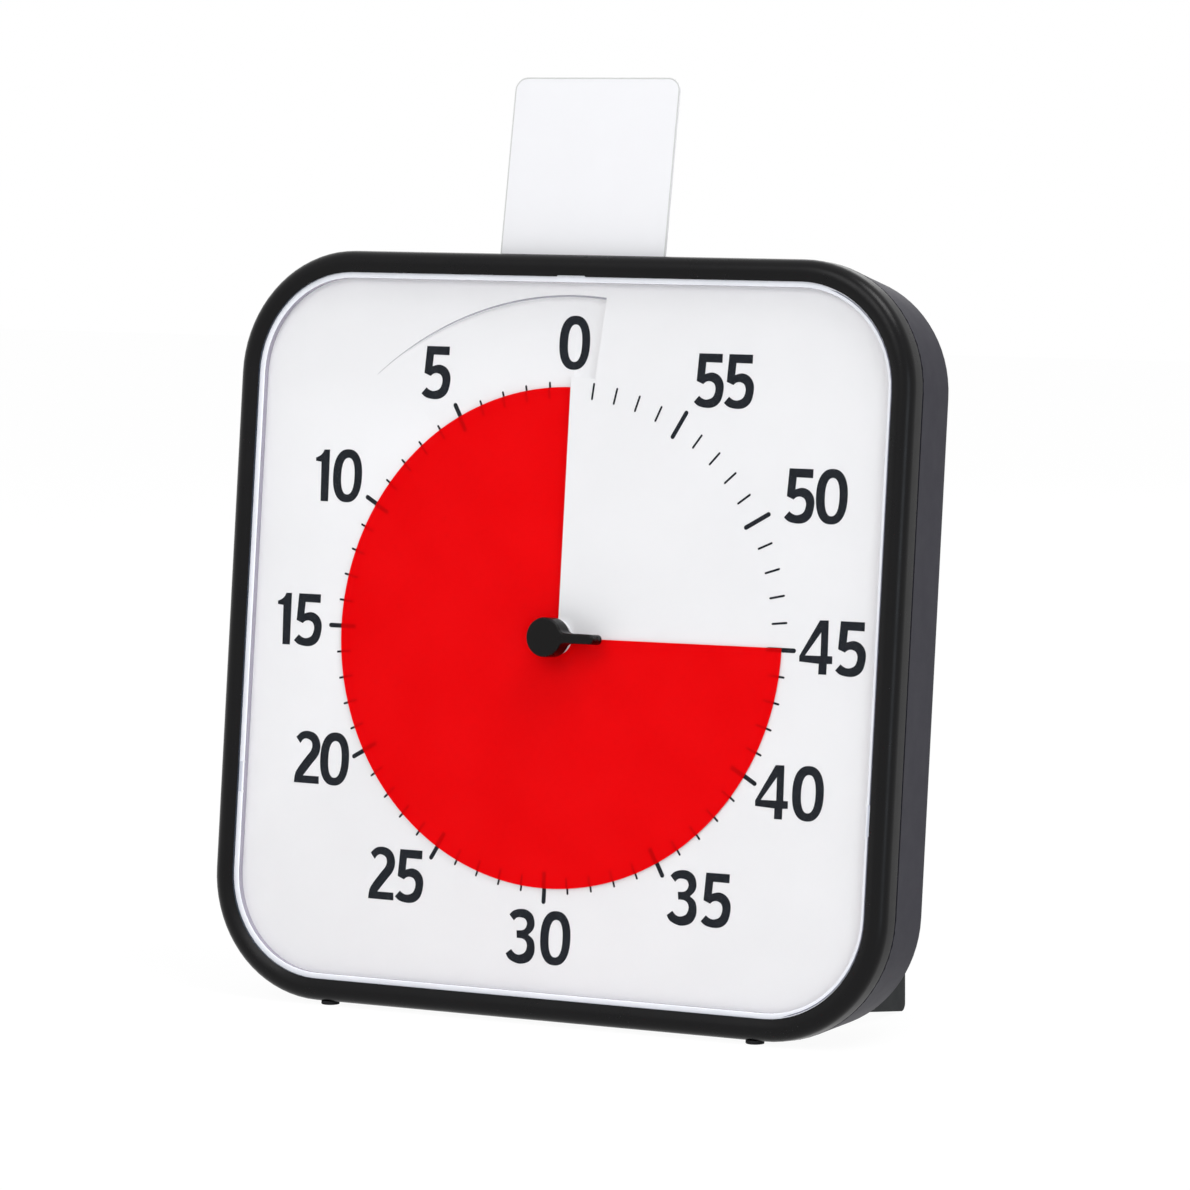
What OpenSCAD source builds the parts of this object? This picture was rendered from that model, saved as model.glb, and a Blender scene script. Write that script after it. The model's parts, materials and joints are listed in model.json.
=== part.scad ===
// Visual countdown timer: a square case that stands on two front pads and two fold-out feet.
// Each piece is drawn in the case's own frame: X to the right, Y from the dial's face (0) to the
// back, and Z up from the dial's centre. standing() leans the whole timer back and sets it down.
// Angles on the dial are counted counter-clockwise from twelve o'clock, as the minutes run.

/* [Case] */
// Width and height of the square case
case_w = 304.8; // [290:0.1:330]
// Radius of the case's corners
case_corner = 50.7; // [44:0.1:60]
// Distance from the dial's face to the back of the case
back_y = 39.2; // [38:0.1:41]
// Wall thickness of the rear housing and the bezel's skirt
wall = 2.4; // [2:0.1:2.8]
// Place of the seam between bezel and rear housing
seam_y = 5.3; // [5.3:0.1:6]
// Open groove at the seam
seam_gap = 0.3; // [0.2:0.05:0.5]
// Radius of the housing's rear edge
rear_edge = 4; // [3:0.1:5]
// How much each side of the rear housing draws in towards the back
draft = 3.6; // [3:0.1:4]
// How far the case leans back on its feet, in degrees
lean = 6.8; // [4:0.1:8]

/* [Bezel] */
// How far the bezel's face stands in front of the dial
bezel_front = 5.8; // [5.2:0.1:8]
// Width of the bezel from the case's side to the window
bezel_w = 8.9; // [8:0.1:12]
// Radius of the bezel's outer edge
bezel_edge = 5; // [3:0.1:5]
// Width of the bevel round the window
bevel_w = 3; // [1:0.1:3]
// Depth of the bevel round the window
bevel_d = 1.5; // [0.5:0.1:1.8]
// Width of the notch for the lens's tab
tab_w = 13.6; // [8:0.1:20]
// How far the tab reaches into the bezel
tab_reach = 1.2; // [0.6:0.1:2]

/* [Lens] */
// Thickness of the clear window
lens_t = 1.5; // [1:0.1:1.6]
// Front of the clear window, in front of the dial
lens_front = 2.6; // [2.5:0.1:2.8]
// Front of the lens's thick border, in front of the dial
lens_seat = 3.2; // [3:0.1:3.6]
// Width of the border that shows inside the bezel
lens_border = 2.2; // [1.5:0.1:4]
// Radius of the hole that the knob comes through
lens_hole_r = 10.5; // [9:0.1:12]

/* [Dial] */
// Thickness of the dial's sheet
dial_t = 1.4; // [1:0.1:1.6]
// Radius of the dial's centre hole
dial_hole_r = 7.2; // [7:0.1:9]
// Depth of the ramp at its step
ramp_d = 3; // [2.8:0.1:3.4]
// Distance from the case's side to the ramp's outer edge
ramp_margin = 16.4; // [15:0.1:20]
// How far the slit reaches past the disc's edge
slit_over = 3.7; // [2:0.1:8]
// Angle of the ramp's step, past twelve o'clock
step_a = 6; // [4:0.5:8]
// Angle at which the ramp has faded into the dial
fade_a = 38; // [30:1:50]
// Thickness of the ramp's floor and walls
ramp_t = 1.2; // [1:0.1:1.4]

/* [Time disc] */
// Outer radius of the red disc
disc_r = 100.3; // [90:0.1:100.5]
// Thickness of the red disc
disc_t = 0.4; // [0.3:0.05:0.5]
// Gap between the disc and the dial's face
disc_gap = 0.3; // [0.25:0.05:0.35]
// Minutes that the timer is set to
set_minutes = 45; // [15:1:59]
// Radius of the disc's hub
hub_r = 6; // [5.2:0.1:6.2]

/* [Knob] */
// Radius of the knob's round head
knob_r = 7.9; // [7:0.05:9]
// Front of the knob, in front of the dial
knob_front = 11.8; // [9:0.1:13]
// Gap between the knob and the lens
knob_gap = 0.5; // [0.3:0.1:0.8]
// Length of the pointer from the centre to its tip
pointer_l = 22.3; // [17:0.1:24]
// Width of the pointer
pointer_w = 4; // [3:0.1:5]
// Radius of the fillets between pointer and head
pointer_fillet = 3; // [2:0.1:4]
// Radius of the knob's neck
neck_r = 5; // [4:0.1:6]
// Rounding of the knob's front edge
knob_edge = 0.8; // [0.4:0.1:1.2]

/* [Feet and pads] */
// Distance of each fold-out foot from the case's side
foot_in = 37.4; // [35:0.1:44]
// Reach of the open feet behind the dial's face
foot_reach = 93.2; // [86:0.1:98]
// Thickness of a foot
foot_t = 4; // [3:0.1:4.2]
// Height of a foot at its hinge
foot_h = 45; // [35:1:50]
// Height of a foot at its end
foot_end_h = 24; // [18:1:32]
// Radius of a foot's corners
foot_corner = 3; // [2:0.1:4]
// Rise of a foot's lower edge towards its hinge, in degrees
foot_rise = 1.5; // [0:0.1:3]
// Outer radius of a foot's hinge barrel
barrel_r = 3; // [2.7:0.1:3]
// Radius of the hinge pins
pin_r = 1.5; // [1.2:0.1:1.7]
// Depth of the pockets that the feet fold into
pocket_d = 6.4; // [6.2:0.1:7]
// Distance of the front pads from the case's side
pad_in = 55.7; // [52:0.1:72]
// Distance of the front pads behind the dial's face
pad_y = 0.9; // [0.5:0.1:1]
// Radius of the front pads
pad_r = 3.7; // [3:0.1:3.7]
// Gap between the table and the case's rear lower edge
table_gap = 0.6; // [0.4:0.1:1]

/* [Card] */
// Width of the activity card
card_w = 74.8; // [60:0.1:80]
// Height of the activity card
card_h = 85.2; // [70:0.1:110]
// Thickness of the activity card
card_t = 0.8; // [0.5:0.05:1]
// Radius of the card's corners
card_corner = 5.4; // [2:0.1:8]
// How deep the card stands in its slot
card_in = 13.3; // [10:0.1:14]
// Lean of the card against the case, in degrees
card_lean = 4.5; // [3:0.1:5]
// Place of the card's middle at the top of the case
card_y = 4.2; // [4:0.1:4.2]
// Gap round the card in its slot
card_gap = 0.6; // [0.4:0.1:0.8]

/* [Movement] */
// Width and height of the movement's case
move_w = 56; // [54:0.5:60]
// Depth of the movement's case
move_d = 15.6; // [15.4:0.1:18]
// Wall thickness of the movement's case
move_wall = 1.5; // [1.2:0.1:1.6]
// Front face of the plate that carries dial and movement
carrier_y = 6; // [5.8:0.1:6.2]
// Thickness of that plate
carrier_t = 2; // [1.6:0.1:2.1]
// Radius of the threaded bush
bush_r = 3.9; // [3.5:0.1:4.2]
// Radius of the setting arbor
arbor_r = 1.5; // [1.3:0.1:1.6]
// Module of the gear teeth
gear_m = 0.3; // [0.28:0.01:0.3]
// Teeth on each pinion
pinion_n = 8; // [8:1:8]
// Teeth on the centre wheel
centre_n = 64; // [60:1:64]
// Teeth on the third wheel and the step wheel
fast_n = 60; // [56:1:60]
// Teeth on the second wheel
second_n = 32; // [30:1:34]
// Thickness of the wheels
wheel_t = 0.8; // [0.6:0.1:0.9]
// Radius of the train's arbors
pivot_r = 0.6; // [0.5:0.05:0.7]

/* [Battery] */
// Radius of the cell
cell_r = 7.25; // [7:0.05:7.25]
// Length of the cell
cell_l = 50.5; // [49:0.1:51]
// Height of the battery bay's middle over the dial's centre
bay_z = -75; // [-80:0.5:-70]
// Room for the contacts at the ends of the cell
bay_room = 6.5; // [6:0.1:8]
// Gap between the cell and the bay's side walls
bay_gap = 0.75; // [0.5:0.05:1.5]
// Thickness of the battery door
door_t = 1.6; // [1.2:0.1:1.6]
// Width of the ledge that the door lies on
door_lip = 3; // [2:0.1:4]

/* [Sound] */
// Distance of the buzzer and the volume wheel from the middle
sound_x = 64; // [58:0.5:80]
// Height of the buzzer and the volume wheel over the dial's centre
sound_z = -48; // [-54:0.5:-40]
// Radius of the buzzer
buzzer_r = 13.5; // [12:0.1:15]
// Height of the buzzer's can
buzzer_h = 6; // [4:0.1:8]
// Radius of one sound hole
sound_hole_r = 1.2; // [0.8:0.1:1.4]
// Radius of the volume wheel
volume_r = 9; // [8:0.1:10]
// Thickness of the volume wheel
volume_t = 4; // [3:0.1:5]
// How far the volume wheel stands out of the back
volume_out = 2.2; // [1.5:0.1:3]

/* [Fasteners] */
// Radius of the case screws' shanks
screw_r = 1.5; // [1.3:0.05:1.6]
// Radius of the case screws' heads
head_r = 2.9; // [2.6:0.1:3.1]
// Height of the case screws' heads
head_h = 2.2; // [1.8:0.1:2.4]
// Outer radius of the screw posts
post_r = 4.4; // [4:0.1:5]
// Distance of the corner screws from the case's sides
corner_in = 32.4; // [30:0.1:36]
// Distance of the side screws from the case's sides
side_in = 14.4; // [13:0.1:16]
// Distance of the lower screws from the case's underside
low_in = 20.4; // [19:0.1:22]
// Distance of the lower screws from the middle
low_x = 22; // [18:0.5:40]

/* [Fits] */
// Gap between parts that lie inside each other
fit = 0.3; // [0.25:0.05:0.35]
// Radial gap of a turning fit
run = 0.05; // [0.03:0.01:0.06]
// Radial gap of a fixed fit
seat = 0.02; // [0.02:0.01:0.03]

/* [Hidden] */

$fn = 64;
corner_fn = 128;
cut = 0.01;

half = case_w / 2;
ramp_r = half - ramp_margin;
slit_r = disc_r + slit_over;
window_half = half - bezel_w;
window_corner = case_corner - bezel_w;
inner_half = half - wall - fit;
inner_corner = case_corner - wall - fit;

// Standing pose: the table passes just under the rear lower edge and rises against the leaning case
lift = (back_y - rear_edge) * sin(lean) + (half - draft - rear_edge) * cos(lean) + rear_edge + table_gap;
function ground_z(y) = (y * sin(lean) - lift) / cos(lean);
pad_drop = -half - ground_z(pad_y);
front_most = (bezel_edge - bezel_front) * cos(lean) - (half - bezel_edge) * sin(lean) - bezel_edge;
toe = [foot_reach - foot_corner, ground_z(foot_reach - foot_corner) + foot_corner / cos(lean)];
rear_most = toe[0] * cos(lean) + toe[1] * sin(lean) + foot_corner;
middle_y = (front_most + rear_most) / 2;

// Seam lip inside the bezel's skirt
lip_t = 1.2;
lip_reach = 1.3;
lip_gap = 0.2;
lip_root = 2.6;
seam_chamfer = 0.4;
carrier_half = half - wall - lip_gap - lip_t - fit;
carrier_corner = case_corner - wall - lip_gap - lip_t - fit;
rib_t = 2;

// Disc: in front of the dial, down the ramp, and behind the dial past the slit
set_a = set_minutes * 6;
disc_back_y = dial_t + 0.4;
disc_cut_a = 0.4;
disc_in_r = hub_r + 0.1;
hub_front = disc_gap + disc_t + 0.1;
hub_back = disc_back_y + disc_t + 0.1;
knob_layers = 3;
bore_front = 2.5;

// Feet and pads
foot_x = half - foot_in;
pad_x = half - pad_in;
pad_cut = 4 * pad_r;
hinge_y = back_y - barrel_r - 0.1;
pocket_y = back_y - pocket_d;
pocket_wall = 1.8;
foot_l = foot_reach - hinge_y;
foot_low = toe[1] - foot_corner / cos(foot_rise) + (toe[0] - hinge_y) * tan(foot_rise);
foot_top = foot_low + foot_h;
pocket_gap = 0.8;
pocket_low = min(foot_low, toe[1] - foot_corner) - pocket_gap;
pocket_high = foot_top + pocket_gap;
finger_r = 8;

// Card slot
slot_half = card_w / 2 + card_gap;
slot_d = card_t + 2 * card_gap;
slot_floor = half - card_in * cos(card_lean) - 0.3;
guide_t = 1.5;
slot_cut = 10;

// Movement levels, from the dial to the back
move_front = carrier_y + carrier_t;
move_back = move_front + move_d;
move_seam = move_front + 7.8;
move_half = move_w / 2;
move_corner = 4;
plate_y = move_front + move_wall;
rear_plate_y = move_back - move_wall;
centre_y = plate_y + 1.0;
third_y = centre_y + 2.5;
second_y = third_y + 2.3;
bridge_y = second_y + 1.5;
bridge_t = 0.8;
step_y = bridge_y + bridge_t + 0.6;
magnet_y = step_y + wheel_t + 0.7;
magnet_t = 1.5;
magnet_r = 3;
pinion_over = 0.3;
bridge_post_r = 1.6;
bridge_post_in = 2.6;
bush_front = hub_back + 0.6;
washer_t = 0.4;
nut_t = 2.2;
nut_r = 6.3;
thin_arbor_r = 1;
thin_arbor_y = centre_y + wheel_t + 1.0;
pivot_in = 0.9;

// Arbor places in the train
function pitch_r(n) = n * gear_m / 2;
function mesh(n) = pitch_r(n) + pitch_r(pinion_n) + 0.02;
function along(from, length, angle) = [from[0] + length * cos(angle), from[1] + length * sin(angle)];
third_dir = 135;
second_dir = 45;
step_dir = 0;
rotor_dir = -20;
centre_at = [0, 0];
third_at = along(centre_at, mesh(centre_n), third_dir);
second_at = along(third_at, mesh(fast_n), second_dir);
step_at = along(second_at, mesh(second_n), step_dir);
rotor_at = along(step_at, mesh(fast_n), rotor_dir);

// Bridge over the train, and its posts
bridge_left = third_at[0] - pitch_r(fast_n) - 5;
bridge_right = rotor_at[0] + magnet_r + 4;
bridge_low = 3.6 - pitch_r(centre_n);
bridge_high = second_at[1] + pitch_r(second_n) + 4.2;
bridge_posts = [[bridge_left + bridge_post_in, bridge_high - bridge_post_in],
                [bridge_left + bridge_post_in, bridge_low + bridge_post_in],
                [bridge_right - bridge_post_in, bridge_high - bridge_post_in],
                [pitch_r(centre_n) + gear_m + bridge_post_r + 0.5, 2]];

// Stator and coil
stator_t = 1;
stator_leg = 4;
coil_z = -8;
coil_r = 3.4;
coil_l = 12;

// Boards
board_t = 1.2;
move_board_h = 12;
chip_w = 5;
crystal_r = 1;
crystal_l = 6;

// Battery bay
bay_l = cell_l + bay_room;
bay_h = 2 * (cell_r + bay_gap);
bay_wall = 1.4;
door_y = back_y - door_t;
cell_y = door_y - 0.6 - cell_r;
bay_floor_y = cell_y - cell_r - 0.1 - bay_wall;
nub_r = 2.7;
nub_l = 1;
door_corner = 2.5;
door_gap = 0.25;
clip_t = 1.1;
clip_w = 9;
clip_d = 2;
grip_l = 16;
grip_w = 1.2;
grip_out = 0.5;
spring_wire = 0.4;
spring_turns = 3;
contact_t = 0.4;
contact_w = 9;

// Volume wheel and its board
volume_y = back_y + volume_out - volume_r;
volume_axle_r = 1.5;
volume_gap = 0.6;
volume_board_y = volume_y - volume_r - 0.5 - board_t;
volume_board_w = 34;
volume_board_h = 28;
ear_t = 2;
stand_r = 2.5;

// Case screws: a post on the housing meets a post on the carrier
post_y = 15;
corner_screw = half - corner_in;
screw_spots = [[corner_screw, corner_screw], [half - side_in, 0], [low_x, low_in - half]];
screw_bottom_y = move_front + 2;
head_y = back_y - wall - 1;
pilot_depth = 0.5;

// Keyhole for a wall hook
key_z = 95;
key_r = 4.5;
key_slot_r = 2.5;
key_slot_l = 10;

// ---------- helpers ----------

// Sets the leaning timer down with its lowest points at height 0
module standing() translate([0, -middle_y, lift]) rotate([-lean, 0, 0]) children();

// Extrudes a shape drawn as seen from the front, from depth y over thickness t
module slab(y, t) translate([0, y + t, 0]) rotate([90, 0, 0]) linear_extrude(t) children();

// Turns a profile drawn as (radius, depth) about the line through a place on the dial
module turned(at = [0, 0]) translate([at[0], 0, at[1]]) rotate([-90, 0, 0]) rotate_extrude() children();

// Round bar from depth y over length l
module bar(y, l, r, at = [0, 0]) translate([at[0], y, at[1]]) rotate([-90, 0, 0]) cylinder(h = l, r = r);

// Square with round corners, about the middle
module rounded_square(h, r) {
    square([2 * (h - r), 2 * h], center = true);
    square([2 * h, 2 * (h - r)], center = true);
    for (x = [-1, 1], z = [-1, 1]) translate([x * (h - r), z * (h - r)]) circle(r, $fn = corner_fn);
}

// Rectangle with round corners, about the middle
module rounded_rectangle(w, h, r) {
    square([w - 2 * r, h], center = true);
    square([w, h - 2 * r], center = true);
    for (x = [-1, 1], z = [-1, 1]) translate([x * (w / 2 - r), z * (h / 2 - r)]) circle(r);
}

// Carries a profile round the case: its X is 0 at the case's side and negative inwards
module round_the_case() {
    straight = half - case_corner;
    for (k = [0:3]) rotate([0, 90 * k, 0]) {
        translate([half, 0, -straight]) linear_extrude(2 * straight) children();
        translate([straight, 0, -straight]) rotate([-90, 0, 0])
            rotate_extrude(angle = 90, $fn = corner_fn) translate([case_corner, 0]) children();
    }
}

// Points of an arc about a centre, from angle a1 to a2
function arc(c, r, a1, a2, n) = [for (i = [0:n]) let (a = a1 + (a2 - a1) * i / n) c + r * [cos(a), sin(a)]];

// Place on the dial at radius r, angle a and depth y
function on_dial(r, a, y) = [-r * sin(a), y, r * cos(a)];

// Faces that skin a row of rings of k points, with both ends closed
function skin(rings, k) = concat(
    [[for (j = [0:k - 1]) j]],
    [for (i = [0:rings - 2], j = [0:k - 1]) [i * k + j, (i + 1) * k + (j + 1) % k, i * k + (j + 1) % k]],
    [for (i = [0:rings - 2], j = [0:k - 1]) [i * k + j, (i + 1) * k + j, (i + 1) * k + (j + 1) % k]],
    [[for (j = [k - 1:-1:0]) (rings - 1) * k + j]]);

// Block between two radii and two angles, whose front and back follow the angle in a straight ramp
module ramp_block(r1, r2, a1, a2, front1, front2, back1, back2) {
    steps = ceil((a2 - a1) / 2);
    polyhedron([for (i = [0:steps]) let (s = i / steps, a = a1 + (a2 - a1) * s,
                                        f = front1 + (front2 - front1) * s, b = back1 + (back2 - back1) * s)
                each [on_dial(r1, a, f), on_dial(r2, a, f), on_dial(r2, a, b), on_dial(r1, a, b)]],
               skin(steps + 1, 4));
}

// Depth of the ramp at angle a
function ramp(a) = ramp_d * (fade_a - a) / (fade_a + step_a);

// Gear outline with straight-sided teeth; a tooth points at angle 0
module gear(n) {
    r = pitch_r(n);
    pitch = 360 / n;
    root = r - 1.2 * gear_m;
    tip = r + gear_m;
    polygon([for (i = [0:n - 1], c = [[root, -0.27], [tip, -0.1], [tip, 0.1], [root, 0.27]])
             c[0] * [cos(pitch * (i + c[1])), sin(pitch * (i + c[1]))]]);
}

// A wheel whose gap faces the pinion at angle dir
module wheel(n, y, at, dir, hole = 0) slab(y, wheel_t) translate(at) difference() {
    rotate(dir + 180 / n) gear(n);
    if (hole > 0) circle(hole);
    for (k = [0:4]) rotate(72 * k + 36) translate([pitch_r(n) * 0.56, 0]) circle(pitch_r(n) * 0.2);
}

// A pinion whose tooth faces back along angle dir, towards its wheel
module pinion(y, at, dir) slab(y - pinion_over, wheel_t + 2 * pinion_over)
    translate(at) rotate(dir + 180) gear(pinion_n);

// ---------- case ----------

module bezel_profile() polygon(concat(
    [[0, seam_y - seam_gap - seam_chamfer]],
    arc([-bezel_edge, bezel_edge - bezel_front], bezel_edge, 0, -90, 8),
    [[bevel_w - bezel_w, -bezel_front], [-bezel_w, bevel_d - bezel_front], [-bezel_w, -lens_seat],
     [-wall, -lens_seat], [-wall, seam_y - seam_gap], [-seam_chamfer, seam_y - seam_gap]]));

// Outline of the lens's tab at the top of the window
module tab_shape(gap) translate([0, window_half]) polygon([
    [-tab_w / 2 - gap, -lens_border / 2], [tab_w / 2 + gap, -lens_border / 2],
    [tab_w / 2 + gap - tab_reach, tab_reach + gap], [tab_reach - tab_w / 2 - gap, tab_reach + gap]]);

// Room for the card in the top wall
module card_slot() translate([-slot_half, card_y - slot_d / 2, half - slot_cut])
    cube([2 * slot_half, slot_d, 2 * slot_cut]);

module front_bezel() color([0.12, 0.12, 0.12]) standing() difference() {
    round_the_case() bezel_profile();
    slab(bevel_d - bezel_front - 0.2, bezel_front) tab_shape(0.1);
    card_slot();
}

module lens() color([0.85, 0.92, 0.98, 0.3]) standing() {
    slab(-lens_seat, lens_seat) difference() {
        rounded_square(inner_half, inner_corner);
        rounded_square(window_half - lens_border, window_corner - lens_border);
    }
    slab(-lens_front, lens_t) difference() {
        rounded_square(window_half - lens_border + cut, window_corner - lens_border);
        circle(lens_hole_r);
    }
    slab(bevel_d - bezel_front, bezel_front - bevel_d - lens_seat + cut) tab_shape(0);
}

module dial_plate() color([0.95, 0.95, 0.96]) standing() {
    low_a = -step_a - ramp_t / ramp_r * 180 / PI;
    over_a = fade_a + 3;
    inside = dial_t / 2;
    behind = dial_t + ramp_t / 2;
    difference() {
        union() {
            slab(0, dial_t) difference() {
                rounded_square(inner_half, inner_corner);
                circle(dial_hole_r);
            }
            // tray behind the ramp
            ramp_block(dial_hole_r + 0.2, ramp_r + ramp_t, 0, fade_a, inside, inside,
                       ramp(0) + ramp_t, behind);
            ramp_block(slit_r - ramp_t, ramp_r + ramp_t, low_a, 0, inside, inside, ramp(low_a) + ramp_t,
                       ramp(0) + ramp_t);
        }
        // the ramp, open to the slit at its deep end
        ramp_block(dial_hole_r - 1, ramp_r, 0, over_a, -1, -1, ramp(0), ramp(over_a));
        ramp_block(slit_r, ramp_r, -step_a, 0, -1, -1, ramp(-step_a), ramp(0));
    }
}

module screw_places() for (s = screw_spots, side = [-1, 1]) translate([side * s[0], 0, s[1]]) children();

module dial_carrier() color([0.25, 0.25, 0.27]) standing() difference() {
    union() {
        slab(carrier_y, carrier_t) rounded_square(carrier_half, carrier_corner);
        slab(dial_t, carrier_y - dial_t + cut) difference() {
            rounded_square(carrier_half, carrier_corner);
            rounded_square(carrier_half - rib_t, carrier_corner - rib_t);
            translate([0, half]) square([2 * (slot_half + guide_t) + 2, 2 * wall + 12], center = true);
        }
        // guides that hold the card in its slot
        slab(dial_t, carrier_y - dial_t + cut) difference() {
            translate([-slot_half - guide_t, slot_floor - guide_t])
                square([2 * (slot_half + guide_t), carrier_half - slot_floor + guide_t]);
            translate([-slot_half, slot_floor]) square([2 * slot_half, half]);
        }
        screw_places() bar(carrier_y + cut, post_y - carrier_y - 0.1, post_r);
    }
    bar(carrier_y - 1, carrier_t + 2, bush_r + 0.15);
    screw_places() bar(screw_bottom_y - pilot_depth, post_y, screw_r + seat);
}

module housing_profile() {
    lip_out = -wall - lip_gap;
    polygon(concat([[0, seam_y]],
        arc([-draft - rear_edge, back_y - rear_edge], rear_edge, 0, 90, 7),
        [[-draft - rear_edge - 1, back_y], [-draft - rear_edge - 1, back_y - wall],
         [-draft - wall, back_y - wall], [-wall, seam_y + lip_root], [lip_out - lip_t, seam_y + lip_reach],
         [lip_out - lip_t, seam_y - lip_reach], [lip_out, seam_y - lip_reach], [lip_out, seam_y]]));
}

// Outline of the pocket for the right foot, grown by g
module pocket_shape(g) {
    translate([foot_x - foot_l - pocket_gap - g, pocket_low - g])
        square([foot_l + barrel_r + 2 * pocket_gap + 2 * g, pocket_high - pocket_low + 2 * g]);
    translate([foot_x - foot_l - pocket_gap, (pocket_low + pocket_high) / 2]) circle(finger_r + g);
}

// Keyhole as seen from the front, with its slot upwards
module keyhole_shape(g) {
    translate([0, key_z]) circle(key_r + g);
    translate([0, key_z + key_slot_l]) circle(key_slot_r + g);
    translate([-key_slot_r - g, key_z]) square([2 * (key_slot_r + g), key_slot_l]);
}

module sound_holes() for (ring = [0:2], k = [0:max(1, 6 * ring) - 1])
    rotate(60 * k / max(1, ring)) translate([4 * ring, 0]) circle(sound_hole_r, $fn = 24);

module rear_housing() color([0.2, 0.2, 0.21]) standing() difference() {
    union() {
        round_the_case() housing_profile();
        slab(back_y - wall, wall) rounded_square(half - draft - rear_edge, case_corner - draft - rear_edge);
        intersection() {
            slab(pocket_y - pocket_wall, pocket_d + pocket_wall - cut)
                for (side = [0, 1]) mirror([side, 0]) pocket_shape(pocket_wall);
            slab(pocket_y - pocket_wall - 1, pocket_d + pocket_wall + 1)
                rounded_square(half - draft - 1, case_corner - draft - 1);
        }
        // battery bay
        slab(bay_floor_y, back_y - wall - bay_floor_y + cut) translate([0, bay_z])
            square([bay_l + 2 * bay_wall, bay_h + 2 * bay_wall], center = true);
        // door recess and its surround
        slab(door_y - bay_wall, door_t) translate([0, bay_z])
            rounded_rectangle(bay_l + 2 * door_lip + 2, bay_h + 2 * door_lip + 2, door_corner + 1);
        screw_places() bar(post_y, back_y - wall - post_y + cut, post_r);
        // ring that holds the buzzer
        slab(back_y - wall - buzzer_h, buzzer_h + cut) translate([-sound_x, sound_z]) difference() {
            circle(buzzer_r + 0.1 + bay_wall);
            circle(buzzer_r + 0.1);
        }
        // stand-offs for the volume wheel's board
        for (x = [-1, 1], z = [-1, 1])
            bar(volume_board_y + board_t, back_y - wall - volume_board_y - board_t + cut, stand_r,
                [sound_x + x * (volume_board_w / 2 - stand_r), sound_z + z * (volume_board_h / 2 - stand_r)]);
    }
    for (side = [0, 1]) mirror([side, 0, 0]) {
        slab(pocket_y, pocket_d + 1) pocket_shape(0);
        translate([foot_x, hinge_y, pocket_low - 1.5])
            cylinder(h = pocket_high - pocket_low + 3, r = pin_r + seat);
    }
    slab(bay_floor_y + bay_wall, back_y) translate([0, bay_z]) square([bay_l, bay_h], center = true);
    slab(door_y, 2 * door_t) translate([0, bay_z])
        rounded_rectangle(bay_l + 2 * door_lip, bay_h + 2 * door_lip, door_corner);
    slab(back_y - wall - 1, wall + 2) keyhole_shape(0);
    slab(back_y - wall - 1, wall + 2) translate([-sound_x, sound_z]) sound_holes();
    slab(back_y - wall - 1, wall + 2) translate([sound_x, sound_z])
        square([volume_t + 2 * volume_gap, 2 * volume_r + 2 * volume_gap], center = true);
    screw_places() {
        bar(post_y - 1, back_y, screw_r + 0.2);
        bar(head_y - head_h, back_y, head_r + 0.2);
    }
    card_slot();
}

// ---------- disc and knob ----------

// Front of the disc at angle a: behind the dial, up the ramp, then in front of it
function disc_front(a) = a <= 0 ? disc_back_y
    : a >= fade_a ? -disc_gap - disc_t
    : disc_back_y + (-disc_gap - disc_t - disc_back_y) * a / fade_a;

module time_disc() color([0.9, 0.05, 0.06]) standing() {
    low_a = set_a - 360 + disc_cut_a;
    turns = concat([for (a = [low_a:3:-0.5]) a], [for (a = [0:2:fade_a]) a],
                   [for (a = [fade_a + 2:3:set_a - disc_cut_a - 0.5]) a], [set_a - disc_cut_a]);
    polyhedron([for (a = turns) let (f = disc_front(a))
                each [on_dial(disc_in_r, a, f), on_dial(disc_r, a, f),
                      on_dial(disc_r, a, f + disc_t), on_dial(disc_in_r, a, f + disc_t)]],
               skin(len(turns), 4));
}

module disc_hub() color([0.85, 0.05, 0.06]) standing() turned()
    polygon([[arbor_r + seat, -hub_front], [hub_r, -hub_front],
             [hub_r, hub_back], [arbor_r + seat, hub_back]]);

module knob_shape(g) {
    arm = pointer_w / 2 - g;
    head = knob_r - g;
    fillet = pointer_fillet + g;
    fillet_z = arm + fillet;
    fillet_x = sqrt((head + fillet) * (head + fillet) - fillet_z * fillet_z);
    circle(head, $fn = 96);
    translate([0, -arm]) square([pointer_l - pointer_w / 2, 2 * arm]);
    translate([pointer_l - pointer_w / 2, 0]) circle(arm);
    difference() {
        polygon([[0, 0], [fillet_x, fillet_z], [fillet_x, -fillet_z]]);
        for (side = [-1, 1]) translate([fillet_x, side * fillet_z]) circle(fillet, $fn = 48);
    }
}

// Part of the way round the knob's front edge that layer k of its rounding has come
function edge_turn(k) = 90 * (k + 0.5) / knob_layers;

module knob() color([0.1, 0.1, 0.1]) standing() {
    knob_back = -lens_front - knob_gap;
    difference() {
        rotate([0, 90 + set_a, 0]) mirror([0, 0, 1]) {
            slab(knob_edge - knob_front, knob_front + knob_back - knob_edge) knob_shape(0);
            for (k = [0:knob_layers - 1]) let (rise = knob_edge * sin(edge_turn(k)))
                slab(knob_edge - knob_front - rise, rise + cut)
                    knob_shape(knob_edge * (1 - cos(edge_turn(k))));
            bar(knob_back - cut, -hub_front - knob_back + cut, neck_r);
        }
        bar(bore_front - knob_front, knob_front, arbor_r + seat);
    }
}

module setting_arbor() color([0.75, 0.72, 0.6]) standing() {
    bar(bore_front + 0.1 - knob_front, thin_arbor_y + knob_front - bore_front - 0.1, arbor_r);
    bar(thin_arbor_y - cut, rear_plate_y + pivot_in - thin_arbor_y, thin_arbor_r);
}

// ---------- movement ----------

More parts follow.
